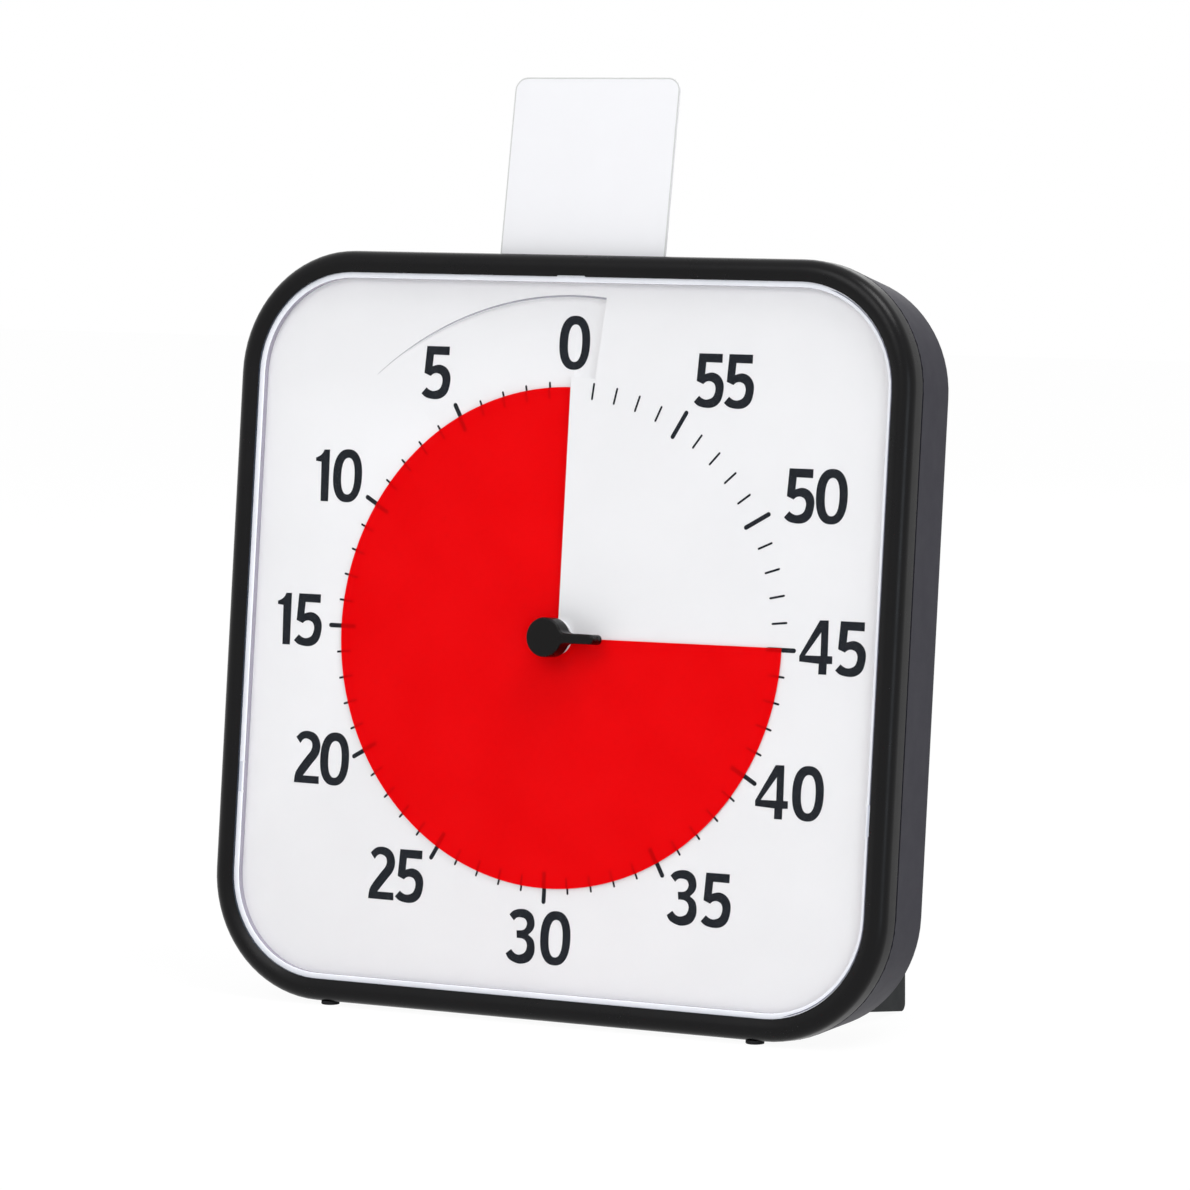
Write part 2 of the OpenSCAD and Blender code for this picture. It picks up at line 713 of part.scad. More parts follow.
module bush_washer() color([0.78, 0.78, 0.8]) standing() slab(carrier_y - washer_t, washer_t) difference() {
    circle(nut_r + 0.8);
    circle(bush_r + 0.1);
}

module bush_nut() color([0.8, 0.7, 0.4]) standing() slab(carrier_y - washer_t - nut_t, nut_t) difference() {
    circle(nut_r, $fn = 6);
    circle(bush_r + seat);
}

// Open box of the movement's case between two depths, with its floor at floor_y
module move_shell(y1, y2, floor_y) {
    slab(y1, y2 - y1) difference() {
        rounded_square(move_half, move_corner);
        rounded_square(move_half - move_wall, move_corner - move_wall);
    }
    slab(floor_y, move_wall) rounded_square(move_half, move_corner);
}

module movement_front() color([0.2, 0.2, 0.22]) standing() difference() {
    union() {
        move_shell(move_front, move_seam, move_front);
        bar(bush_front, move_front - bush_front + cut, bush_r);
        bar(plate_y - cut, centre_y - plate_y - 0.3, 3);
        // posts that carry the bridge
        for (p = bridge_posts) bar(plate_y - cut, bridge_y - plate_y + cut, bridge_post_r, p);
    }
    bar(bush_front - 1, plate_y - bush_front + 4, arbor_r + run);
    for (p = [third_at, second_at, step_at]) bar(plate_y - pivot_in, 3, pivot_r + run, p);
}

module movement_rear() color([0.22, 0.22, 0.24]) standing() difference() {
    move_shell(move_seam, move_back, rear_plate_y);
    bar(rear_plate_y - 1, pivot_in + 1, thin_arbor_r + run);
    for (p = [step_at, rotor_at]) bar(rear_plate_y - 1, pivot_in + 1, pivot_r + run, p);
}

module train_bridge() color([0.85, 0.85, 0.8]) standing() slab(bridge_y, bridge_t) difference() {
    translate([bridge_left, bridge_low]) square([bridge_right - bridge_left, bridge_high - bridge_low]);
    circle(thin_arbor_r + 0.4);
    for (p = [third_at, second_at, rotor_at]) translate(p) circle(pivot_r + run);
    translate(step_at) circle(pivot_r + 0.4);
}

module centre_wheel() color([0.86, 0.86, 0.82]) standing() {
    wheel(centre_n, centre_y, centre_at, third_dir, arbor_r + run);
    turned() polygon([[arbor_r + run, centre_y - 0.2], [2.8, centre_y - 0.2], [2.8, centre_y + wheel_t + 0.3],
                      [arbor_r + run, centre_y + wheel_t + 0.3]]);
}

module clutch_spring() color([0.8, 0.75, 0.5]) standing() turned()
    polygon([[arbor_r + seat, centre_y + wheel_t + 0.5], [2.6, centre_y + wheel_t + 0.3],
             [2.6, centre_y + wheel_t + 0.5], [arbor_r + seat, centre_y + wheel_t + 0.7]]);

module third_wheel() color([0.9, 0.85, 0.7]) standing() {
    wheel(fast_n, third_y, third_at, second_dir);
    pinion(centre_y, third_at, third_dir);
    bar(plate_y - pivot_in + 0.1, bridge_y + bridge_t - plate_y + pivot_in - 0.1, pivot_r, third_at);
}

module second_wheel() color([0.9, 0.88, 0.78]) standing() {
    wheel(second_n, second_y, second_at, step_dir);
    pinion(third_y, second_at, second_dir);
    bar(plate_y - pivot_in + 0.1, bridge_y + bridge_t - plate_y + pivot_in - 0.1, pivot_r, second_at);
}

module step_wheel() color([0.92, 0.9, 0.8]) standing() {
    wheel(fast_n, step_y, step_at, rotor_dir);
    pinion(second_y, step_at, step_dir);
    bar(plate_y - pivot_in + 0.1, rear_plate_y - plate_y + 2 * pivot_in - 0.2, pivot_r, step_at);
}

module magnet_rotor() color([0.35, 0.35, 0.38]) standing() {
    pinion(step_y, rotor_at, rotor_dir);
    bar(magnet_y, magnet_t, magnet_r, rotor_at);
    bar(bridge_y, rear_plate_y - bridge_y + pivot_in - 0.1, pivot_r, rotor_at);
}

module stator() color([0.7, 0.71, 0.73]) standing() slab(magnet_y + 0.2, stator_t) difference() {
    union() {
        translate(rotor_at) circle(magnet_r + 3);
        for (side = [-1, 1]) translate([rotor_at[0] + side * (coil_l / 2 + 1.5) - stator_leg / 2, coil_z - 3])
            square([stator_leg, rotor_at[1] - coil_z + 3]);
        translate([rotor_at[0] - coil_l / 2 - 1.5, rotor_at[1] - 3]) square([coil_l + 3, 4]);
    }
    translate(rotor_at) circle(magnet_r + 0.5);
}

module coil() color([0.72, 0.4, 0.2]) standing()
    translate([rotor_at[0] - coil_l / 2 + 0.7, magnet_y + 0.7, coil_z])
    rotate([0, 90, 0]) cylinder(h = coil_l - 1.4, r = min(coil_r, rear_plate_y - magnet_y - 0.9));

module movement_board() color([0.1, 0.42, 0.25]) standing() {
    slab(magnet_y - board_t - 0.2, board_t) translate([0, -move_half + move_wall + 0.4 + move_board_h / 2])
        rounded_rectangle(move_w - 2 * move_wall - 0.8, move_board_h, move_corner - move_wall);
    slab(magnet_y - 0.2 - cut, 0.9) translate([-chip_w / 2, -move_half + move_wall + 4]) square(chip_w);
}

module crystal() color([0.8, 0.8, 0.82]) standing()
    translate([-16, magnet_y - 0.2 + crystal_r, -move_half + move_wall + 5])
    rotate([0, 90, 0]) cylinder(h = crystal_l, r = crystal_r);

// ---------- battery ----------

module battery_spring() color([0.82, 0.82, 0.84]) standing() {
    rings = spring_turns * 12;
    length = (bay_l - cell_l) / 2 - nub_l / 2 - contact_t - 0.6;
    left = -bay_l / 2 + contact_t + 0.05;
    slab(cell_y - contact_w / 2, contact_w) translate([-bay_l / 2 + 0.03, bay_z - contact_w / 2])
        square([contact_t, contact_w]);
    polyhedron([for (i = [0:rings]) let (s = i / rings, a = 360 * spring_turns * s, r = 4.4 - 2.2 * s)
                each [for (k = [0:5]) let (w = spring_wire * cos(60 * k), v = spring_wire * sin(60 * k))
                      [left + spring_wire - 0.05 + (length - 2 * spring_wire) * s - v,
                       cell_y + (r + w) * cos(a), bay_z + (r + w) * sin(a)]]],
               skin(rings + 1, 6));
}

module battery_contact() color([0.82, 0.82, 0.84]) standing()
    slab(cell_y - contact_w / 2, contact_w) translate([bay_l / 2 - contact_t - 0.03, bay_z - contact_w / 2])
    square([contact_t, contact_w]);

module cell() color([0.75, 0.6, 0.3]) standing() {
    right = bay_l / 2 - contact_t - nub_l - 0.15;
    translate([right - cell_l + nub_l, cell_y, bay_z]) rotate([0, 90, 0])
        cylinder(h = cell_l - nub_l, r = cell_r);
    translate([right - cut, cell_y, bay_z]) rotate([0, 90, 0]) cylinder(h = nub_l, r = nub_r);
}

module battery_door() color([0.2, 0.2, 0.21]) standing() {
    slab(door_y, door_t) translate([0, bay_z])
        rounded_rectangle(bay_l + 2 * (door_lip - door_gap), bay_h + 2 * (door_lip - door_gap),
                          door_corner - door_gap);
    for (side = [-1, 1], x = [-1, 1])
        slab(door_y - clip_d, clip_d + cut)
            translate([x * bay_l / 4, bay_z + side * (bay_h / 2 - door_gap - clip_t / 2)])
            square([clip_w, clip_t], center = true);
    // raised bars to grip
    for (k = [-1:1]) slab(back_y - cut, grip_out)
        translate([0, bay_z + 2.5 * grip_w * k]) rounded_rectangle(grip_l, grip_w, grip_w / 2 - cut);
}

// ---------- sound ----------

module buzzer() color([0.12, 0.12, 0.13]) standing()
    turned([-sound_x, sound_z]) polygon([
        [0, back_y - wall - buzzer_h], [buzzer_r, back_y - wall - buzzer_h],
        [buzzer_r, back_y - wall - 0.1], [buzzer_r - 2, back_y - wall - 0.1],
        [buzzer_r - 2, back_y - wall - 1], [0, back_y - wall - 1]]);

module volume_board() color([0.1, 0.42, 0.25]) standing()
    slab(volume_board_y, board_t) translate([sound_x, sound_z])
    square([volume_board_w, volume_board_h], center = true);

module volume_pot() color([0.25, 0.25, 0.28]) standing() difference() {
    for (side = [-1, 1]) slab(volume_board_y + board_t, volume_y + 2.6 - volume_board_y - board_t)
        translate([sound_x + side * (volume_t / 2 + volume_gap + ear_t / 2), sound_z])
        square([ear_t, 8], center = true);
    translate([sound_x - volume_t, volume_y, sound_z]) rotate([0, 90, 0])
        translate([0, 0, -2]) cylinder(h = 2 * volume_t + 4, r = volume_axle_r + run);
}

module volume_wheel() color([0.13, 0.13, 0.13]) standing()
    translate([sound_x, volume_y, sound_z]) rotate([0, 90, 0]) {
    translate([0, 0, -volume_t / 2]) linear_extrude(volume_t) difference() {
        circle(volume_r, $fn = 96);
        for (k = [0:29]) rotate(12 * k) translate([volume_r + 0.25, 0]) circle(0.6, $fn = 16);
    }
    axle = volume_t / 2 + volume_gap + ear_t - 0.1;
    translate([0, 0, -axle]) cylinder(h = 2 * axle, r = volume_axle_r);
}

// ---------- feet, pads, screws and card ----------

// Right foot, open: a plate in the depth-height plane with its hinge barrel
module foot() difference() {
    union() {
        translate([foot_x - foot_t / 2, 0, 0]) rotate([90, 0, 90]) linear_extrude(foot_t) foot_plate();
        translate([foot_x, hinge_y, foot_low + 0.2]) cylinder(h = foot_h - 0.4, r = barrel_r);
    }
    translate([foot_x, hinge_y, foot_low - 1]) cylinder(h = foot_h + 2, r = pin_r + run);
}

// Side view of a foot: X is depth, Y is height; the far edge is upright when the timer stands
module foot_plate() {
    end_h = foot_end_h - 2 * foot_corner;
    hull() {
        translate([hinge_y, foot_low]) square([0.1, foot_h - 1]);
        translate(toe) circle(foot_corner, $fn = 48);
        translate(toe + end_h * [-sin(lean), cos(lean)]) circle(foot_corner, $fn = 32);
    }
}

module foot_right() color([0.13, 0.13, 0.14]) standing() foot();
module foot_left() color([0.13, 0.13, 0.14]) standing() mirror([1, 0, 0]) foot();

module foot_pins() color([0.75, 0.76, 0.78]) standing() for (side = [-1, 1])
    translate([side * foot_x, hinge_y, pocket_low - 1.3])
    cylinder(h = pocket_high - pocket_low + 2.6, r = pin_r);

module front_pads() color([0.1, 0.1, 0.1]) standing() for (side = [-1, 1]) difference() {
    translate([side * pad_x, pad_y, -half - 2 * pad_drop]) {
        cylinder(h = pad_drop, r1 = pad_r - pad_drop, r2 = pad_r);
        translate([0, 0, pad_drop - cut]) cylinder(h = pad_drop + cut, r = pad_r);
    }
    translate([side * pad_x, pad_y, ground_z(pad_y)]) rotate([lean, 0, 0])
        translate([-pad_cut / 2, -pad_cut / 2, -pad_cut]) cube(pad_cut);
}

module case_screws() color([0.7, 0.7, 0.72]) standing() screw_places() difference() {
    union() {
        bar(screw_bottom_y, head_y - screw_bottom_y, screw_r);
        bar(head_y - head_h + cut, head_h - cut, head_r);
    }
    for (turn = [0, 90]) translate([0, head_y, 0]) rotate([0, turn, 0]) cube([3.2, 2, 0.8], center = true);
}

module activity_card() color([0.96, 0.97, 0.98]) standing() translate([0, card_y, half])
    rotate([-card_lean, 0, 0]) translate([0, 0, card_h / 2 - card_in]) slab(-card_t / 2, card_t)
    rounded_rectangle(card_w, card_h, card_corner);

front_bezel();
lens();
dial_plate();
dial_carrier();
rear_housing();
time_disc();
disc_hub();
knob();
setting_arbor();
bush_washer();
bush_nut();
movement_front();
movement_rear();
train_bridge();
centre_wheel();
clutch_spring();
third_wheel();
second_wheel();
step_wheel();
magnet_rotor();
stator();
coil();
movement_board();
crystal();
battery_spring();
battery_contact();
cell();
battery_door();
buzzer();
volume_board();
volume_pot();
volume_wheel();
foot_left();
foot_right();
foot_pins();
front_pads();
case_screws();
activity_card();
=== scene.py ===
"""Looks of the visual countdown timer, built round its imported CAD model.

Lengths are millimetres in the case's own frame, whose origin is the middle of the dial's front face:
x to the right, y into the case and z up along the dial. place() turns them into the model's frame.
Angles on the dial are degrees counter-clockwise from twelve. Lamps and floor are in metres.
"""
import json
import math

import bmesh
import bpy
from mathutils import Matrix, Vector
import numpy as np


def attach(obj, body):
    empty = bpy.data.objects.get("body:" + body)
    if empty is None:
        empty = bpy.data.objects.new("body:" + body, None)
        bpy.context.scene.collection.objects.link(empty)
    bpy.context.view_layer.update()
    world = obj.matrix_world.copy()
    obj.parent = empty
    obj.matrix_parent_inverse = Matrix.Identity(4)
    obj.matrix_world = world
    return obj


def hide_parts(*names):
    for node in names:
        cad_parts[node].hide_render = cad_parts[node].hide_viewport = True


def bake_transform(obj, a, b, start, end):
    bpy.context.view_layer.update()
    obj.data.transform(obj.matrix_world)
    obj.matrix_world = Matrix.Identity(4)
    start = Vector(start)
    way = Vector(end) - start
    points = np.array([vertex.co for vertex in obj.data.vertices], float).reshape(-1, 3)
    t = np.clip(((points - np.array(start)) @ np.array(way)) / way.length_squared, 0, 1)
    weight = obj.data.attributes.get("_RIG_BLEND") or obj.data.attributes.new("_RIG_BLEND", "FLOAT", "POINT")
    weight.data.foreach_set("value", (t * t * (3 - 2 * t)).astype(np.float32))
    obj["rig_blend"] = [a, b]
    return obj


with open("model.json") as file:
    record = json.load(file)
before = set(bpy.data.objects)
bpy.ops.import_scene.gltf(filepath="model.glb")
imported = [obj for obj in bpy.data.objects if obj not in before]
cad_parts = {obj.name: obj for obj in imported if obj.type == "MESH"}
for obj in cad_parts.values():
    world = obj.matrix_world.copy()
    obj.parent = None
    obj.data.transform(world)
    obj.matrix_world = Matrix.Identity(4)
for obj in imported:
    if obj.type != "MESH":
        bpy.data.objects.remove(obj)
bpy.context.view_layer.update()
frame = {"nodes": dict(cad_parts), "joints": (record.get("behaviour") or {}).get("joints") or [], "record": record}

MM = 0.001

# ---------- the case's frame ----------

KNOB_JOINT = next(j for j in frame["joints"] if j["name"] == "knob_turn")
ORIGIN = Vector(KNOB_JOINT["pos_m"])
INTO = -Vector(KNOB_JOINT["axis"]).normalized()
RIGHT = Vector((1, 0, 0))
UP = RIGHT.cross(INTO).normalized()


def turn(x, y, z):
    """A direction of the case's frame in the model's frame."""
    return RIGHT * x + INTO * y + UP * z


def place(x, y, z):
    """A place of the case's frame in the model's frame, in metres."""
    return ORIGIN + turn(x, y, z) * MM


def span(node):
    """Lowest and highest x, y and z of a CAD node in the case's frame."""
    places = [v.co - ORIGIN for v in frame["nodes"][node].data.vertices]
    sides = [[p.dot(axis) / MM for p in places] for axis in (RIGHT, INTO, UP)]
    return [min(s) for s in sides], [max(s) for s in sides]


# ---------- sizes ----------

LENS_LOW, LENS_HIGH = span("lens")
DISC_LOW, DISC_HIGH = span("time_disc")
KNOB_LOW, KNOB_HIGH = span("knob")
CARD_LOW, CARD_HIGH = span("activity_card")

# Red time disc
SET_A = -KNOB_JOINT["range_deg"][0]      # angle that the disc covers
DISC_OVER_A = 0.4                        # the disc's edge stands this far past the minute mark
DISC_RIM_IN = 0.4                        # its rim shows this far inside the CAD disc's
DISC_R = -DISC_LOW[0] - DISC_RIM_IN
DISC_IN_R = 7.0                          # wider than the CAD disc's hole, so that the bush shows
DISC_T = 0.4
DISC_RADII = (DISC_IN_R, 40, 70, DISC_R - 0.15, DISC_R)
DISC_FRONT, DISC_BACK = DISC_LOW[1], DISC_HIGH[1] - DISC_T
DISC_STEPS_BEHIND, DISC_STEPS_FRONT = 40, 160    # steps round it behind and in front of the dial

# Ramp that the dial sinks along, from where it fades out to the step past the slit at twelve
RAMP_D, RAMP_STEP_A, RAMP_FADE_A = 3.0, 6, 38
RAMP_R, SLIT_R = 136.0, 104.0
RAMP_BEND = 1.5                          # how quickly the disc rises along the ramp
RAMP_LINE, RAMP_LINE_THIN = 0.8, 0.12    # widest and thinnest painted shadow line along the ramp's wall
RAMP_LINE_WIDE_A, RAMP_LINE_PAST_A = 10, 3    # it is widest up to 10 degrees, and ends 3 past the ramp

# Bezel's window and the case's seam; a square is given by half its width and its corner's radius
WINDOW, WINDOW_CORNER = 143.5, 41.8
WINDOW_FRONT = -4.3                      # front of the window's straight edge, where its bevel starts
WINDOW_GAP = 0.03                        # the window's edge is drawn this far inside the solid one
CASE, CASE_CORNER = 152.4, 50.7
SEAM_EDGES = ((5.28, 0.005), (5.78, 0.04))    # y and inset of the two edges of the dark sheet that paints the seam's shadow

# Lens: a thin pane with a thick border that fills the window
LENS_BORDER = 2.2
LENS_IN, LENS_IN_CORNER = WINDOW - LENS_BORDER, WINDOW_CORNER - LENS_BORDER
LENS_OUT, LENS_OUT_CORNER = LENS_HIGH[0], 48.0
LENS_SEAT, LENS_BACK, LENS_CHAMFER = -3.2, -0.02, 0.3
LENS_FRONT, LENS_T = -2.6, 1.5
LENS_HOLE_R = 10.5
LENS_LINE, LENS_LINE_IN, LENS_LINE_GAP = 0.45, 1.25, 0.02    # width, place and gap of its dark line
LENS_LINE_SIDE = WINDOW - WINDOW_CORNER + 8    # the dark line shows only to the right of this

# Tab of the lens, in the notch at the window's top
TAB_W, TAB_REACH, TAB_FRONT = 13.6, 1.2, LENS_LOW[1]
TAB_ROOT, TAB_EDGE = 0.2, 0.2            # how far it starts inside the window, and its front edge
TAB_SHOULDER, TAB_TIP = (0.3, 0.55), 1.3    # where its sides turn in, and how narrow its end is
TAB_TAPER = (1 / 40, 1 / 4)              # share that its front is smaller in x and z

# Side clips of the lens
CLIP_LOW, CLIP_HIGH, CLIP_GAP = -70.0, -57.7, 0.04
CLIP_OUT_GAP, CLIP_IN = 0.1, 0.7         # from the window's edge, and to this far outside the pane
CLIP_GLINT_HEIGHT, CLIP_GLINT_IN = 0.9, 0.4            # height of its painted glints, and how far they reach onto the pane

# Knob with its pointer, the neck behind it and the white bush round the dial's hole
KNOB_R, KNOB_FRONT, KNOB_BACK = -KNOB_LOW[0], KNOB_LOW[1], -4.0
POINTER_L, POINTER_W, POINTER_FILLET = KNOB_HIGH[0], 4.0, 3.0
KNOB_EDGE, KNOB_LAYERS, KNOB_BACK_EDGE = 0.8, 7, 0.15
NECK_R, NECK_BACK, NECK_STEPS = 5.0, KNOB_HIGH[1], 48
BUSH_R, BUSH_IN_R, BUSH_FLANGE_R, BUSH_FRONT, BUSH_STEPS = 6.9, 6.05, 7.4, -1.15, 64

# Activity card, leaning in its slot
CARD_W, CARD_H, CARD_T, CARD_CORNER = CARD_HIGH[0] - CARD_LOW[0], 85.2, 0.8, 5.4
CARD_IN, CARD_LEAN = 13.3, 4.5           # how deep it stands in its slot, and its lean in degrees
CARD_Y, CARD_FOOT = 4.2, 152.4           # y and z of its middle where it leaves the slot
CARD_EDGE, CARD_EDGE_GAP, CARD_EDGE_IN = 0.6, 0.03, 0.02    # its grey edge: width, gap and inset

# Print on the dial
INK_GAP = 0.06                           # the print lies this far in front of the dial
TICKS = 60
MAJOR_EVERY = 5
MINOR_TICK = (95.4, 102.3, 0.87)         # inner radius, outer radius and width
MAJOR_TICK = (93.2, 106.1, 1.82)
TICK_END_STEPS = 8

# Middle of each digit on the dial
NUMERALS = [
    ("0", -0.5, 117.6), ("5", -62.2, 104.3), ("5", 61.9, 104.4), ("5", 75.2, 104.4),
    ("1", -112.2, 61.5), ("0", -101.1, 60.9), ("5", 104.1, 60.6), ("0", 118.1, 60.5),
    ("1", -126.8, 2.4), ("5", -116.2, 1.9), ("4", 115.3, 1.9), ("5", 129.7, 2.2),
    ("2", -113.1, -54.7), ("0", -100.2, -54.3), ("4", 99.4, -55.3), ("0", 114.5, -55.1),
    ("2", -75.1, -99.4), ("5", -62.2, -99.0), ("3", 62.9, -99.2), ("5", 76.9, -98.9),
    ("3", -8.6, -119.6), ("0", 6.2, -119.3),
]

# Outlines of the digits about their middle; a third value of 1 makes a corner
DIGITS = {
    "1": [[(-0.5, 9.7, 1), (2.2, 9.8, 1), (2.5, -11.3, 1), (-1.1, -11.3, 1), (-1.6, 4.7, 1),
           (-4.2, 5.0, 1), (-4.3, 6.3, 1), (-2.4, 7.2), (-1.1, 8.4)]],
    "2": [[(-3.7, 5.9, 1), (-2.6, 7.4), (-0.9, 8.0), (1.4, 7.0), (2.0, 4.9), (1.3, 2.9), (-0.2, 1.1),
           (-4.0, -3.8), (-5.5, -6.6), (-5.9, -10.1, 1), (6.0, -10.2, 1), (5.8, -7.1, 1),
           (-1.7, -7.1, 1), (2.1, -2.3), (5.0, 1.4), (5.9, 4.9), (5.0, 8.2), (2.9, 10.3),
           (-0.4, 11.1), (-3.4, 10.5), (-5.8, 8.4, 1)]],
    "3": [[(-4.4, 6.0, 1), (-3.3, 7.1), (-1.8, 7.5), (0.6, 7.0), (1.6, 5.2), (0.9, 3.2), (-0.6, 2.4),
           (-3.0, 2.2, 1), (-2.7, -0.8, 1), (-0.2, -0.9), (1.5, -1.9), (2.1, -3.9), (1.2, -6.3),
           (-1.3, -7.4), (-3.4, -6.9), (-5.0, -5.4, 1), (-7.4, -7.3, 1), (-5.6, -9.6), (-1.1, -11.0),
           (3.2, -9.9), (5.3, -7.2), (5.7, -4.0), (4.8, -1.0), (2.5, 0.8, 1), (4.5, 2.9), (5.1, 5.6),
           (4.0, 8.8), (1.3, 10.6), (-2.0, 10.8), (-4.9, 9.9), (-6.6, 8.3, 1)]],
    "4": [[(0.5, 10.5, 1), (4.3, 10.6, 1), (4.6, -3.2, 1), (6.6, -3.2, 1), (6.7, -6.2, 1),
           (4.4, -6.3, 1), (4.4, -10.5, 1), (0.9, -10.5, 1), (0.9, -6.4, 1), (-7.6, -5.9, 1),
           (-7.7, -3.8, 1)],
          [(1.3, 5.8, 1), (1.5, -3.3, 1), (-5.2, -3.4, 1)]],
    "5": [[(-4.9, 10.3, 1), (5.5, 10.3, 1), (5.5, 6.8, 1), (-1.6, 6.9, 1), (-1.9, 2.2, 1),
           (1.2, 2.9), (4.2, 1.9), (6.2, -0.6), (6.6, -3.9), (5.6, -8.1), (3.2, -10.4), (0.0, -11.1),
           (-4.0, -10.5), (-6.3, -8.9, 1), (-4.1, -6.4, 1), (-2.6, -7.4), (-0.5, -7.8), (2.0, -6.7),
           (3.0, -3.9), (2.4, -1.6), (0.6, -0.6), (-1.2, -0.8), (-2.5, -1.8, 1), (-5.5, -0.6, 1)]],
}
ZERO_OUT = (0.0, 0.0, 6.85, 10.8)        # middle and half sizes of the nought's two outlines
ZERO_IN = (0.15, -0.15, 3.15, 7.45)
ZERO_SQUARE = 2.35                       # 2 is an ellipse, more is squarer

# ---------- colours, lamps and camera ----------

# Plastics; grain is the size of its lumps, spread the share by which the tone wanders, and edge the
# width over which an edge looks rounded
PLASTICS = {
    "bezel_black": dict(color=(0.0022, 0.0021, 0.0026), rough=0.3, specular=0.17,
                        grain=0.45, grain_depth=0.008),
    "housing_black": dict(color=(0.0165, 0.0153, 0.0255), rough=0.47, specular=0.08,
                          grain=0.6, spread=0.02),
    "foot_black": dict(color=(0.005, 0.007, 0.008), rough=0.45, specular=0.1, grain_depth=0.03),
    "knob_black": dict(color=(0.0024, 0.002, 0.002), rough=0.3, specular=0.16, grain_depth=0.006),
    "movement_black": dict(color=(0.02, 0.02, 0.024), rough=0.5, specular=0.4),
    "inner_grey": dict(color=(0.08, 0.08, 0.085), rough=0.55, specular=0.4),
    "dial_white": dict(color=(0.88, 0.88, 0.895), rough=0.6, specular=0.2,
                       grain=0.7, grain_depth=0.01, spread=0.01, edge=0.2),
    "card_white": dict(color=(0.85, 0.85, 0.872), rough=0.42, specular=0.2,
                       grain=1.2, grain_depth=0.003, spread=0.004, edge=0.2),
    "train_white": dict(color=(0.78, 0.77, 0.72), rough=0.4, specular=0.5,
                        grain_depth=0.01, spread=0.04, edge=0.1),
    "magnet_dark": dict(color=(0.1, 0.1, 0.11), rough=0.6, specular=0.5,
                        grain=0.3, grain_depth=0.04, spread=0.2, edge=0.1),
    "cell_sleeve": dict(color=(0.09, 0.09, 0.1), rough=0.25, specular=0.5,
                        grain=2.0, grain_depth=0.01, spread=0.06, edge=0.2),
}
# Bluish dark of the window's inner edge: a painted glint of bluish light on black bezel plastic
WINDOW_EDGE_BLUE_GLINT = dict(color=(0.012, 0.022, 0.04), rough=0.3, specular=0.3)
# Near-black of the painted shadow laid over the seam's groove
PAINTED_SEAM_SHADE = dict(color=(0.002, 0.002, 0.002), rough=0.7, specular=0.05)

# Clear or milky trim, and the painted shadow and glints: colour, alpha and roughness
PANE = ((0.02, 0.02, 0.025), 0.012, 0.06)
RIM = ((0.92, 0.94, 1.0), 1.0, 0.12)
RIM_EDGE = ((0.38, 0.36, 0.43), 1.0, 0.2)
RIM_LINE = ((0.2, 0.21, 0.28), 0.85, 0.2)
TAB = ((0.62, 0.64, 0.68), 1.0, 0.25)
CLIP = ((0.72, 0.76, 0.86), 0.9, 0.12)
# Near-white of the small glints painted at each end of the lens's clips
CLIP_GLINT_PAINT = ((0.97, 0.98, 1.0), 0.9, 0.12)
RAMP_SHADE = ((0.30, 0.30, 0.36), 0.62, 0.3)
CARD_RIM = ((0.62, 0.63, 0.62), 1.0, 0.3)

RED_LOW, RED_HIGH = (0.81, 0.0008, 0.0022), (0.84, 0.0014, 0.0030)
RED_OVER_MARK = (0.72, 0.6, 0.6)         # what the red is multiplied by over a minute mark
INK_LOW, INK_HIGH = (0.012, 0.014, 0.018), (0.018, 0.021, 0.027)
METAL_SPREAD = 0.15
NOISE_LOW, NOISE_HIGH = 0.3, 0.7         # most noise lies between these

WORLD_FILL = 0.555
FLOOR_HALF, FLOOR_COLOR = 4.0, (0.9, 0.9, 0.9)
FLOOR_WHITE, FLOOR_WHITE_SHARE = 1.03, 0.92    # white that the camera sees, and its share
LAMP_AIM = (0, 0, 0.15)
LAMPS = (
    # name, place, width, watts and colour
    ("front", (-0.2, -2.0, 1.7), 1.4, 13.8, (1, 1, 1)),
    ("top", (0.95, -0.3, 2.15), 1.0, 23, (1, 1, 1)),
    ("right", (2.6, -1.5, 0.5), 1.2, 9, (0.8, 0.9, 1.0)),
    ("rear", (-0.8, 2.0, 1.2), 1.4, 4, (1, 1, 1)),
)

# Camera, in the case's frame; its lens, sensor and clipping in Blender's units
CAMERA_AT = (1082.0, -1965.1, 14.7)
CAMERA_RIGHT = (0.8778, 0.4761, 0.0523)
CAMERA_UP = (-0.0453, -0.0261, 0.9986)
CAMERA_LENS, CAMERA_SENSOR = 170.6, 36.0
CAMERA_CLIP = (0.1, 50)

SMOOTH_A = 32                            # edges that turn more than this stay sharp
SAME_PLACE = 1e-6                        # metres within which points are one

# ---------- material nodes ----------


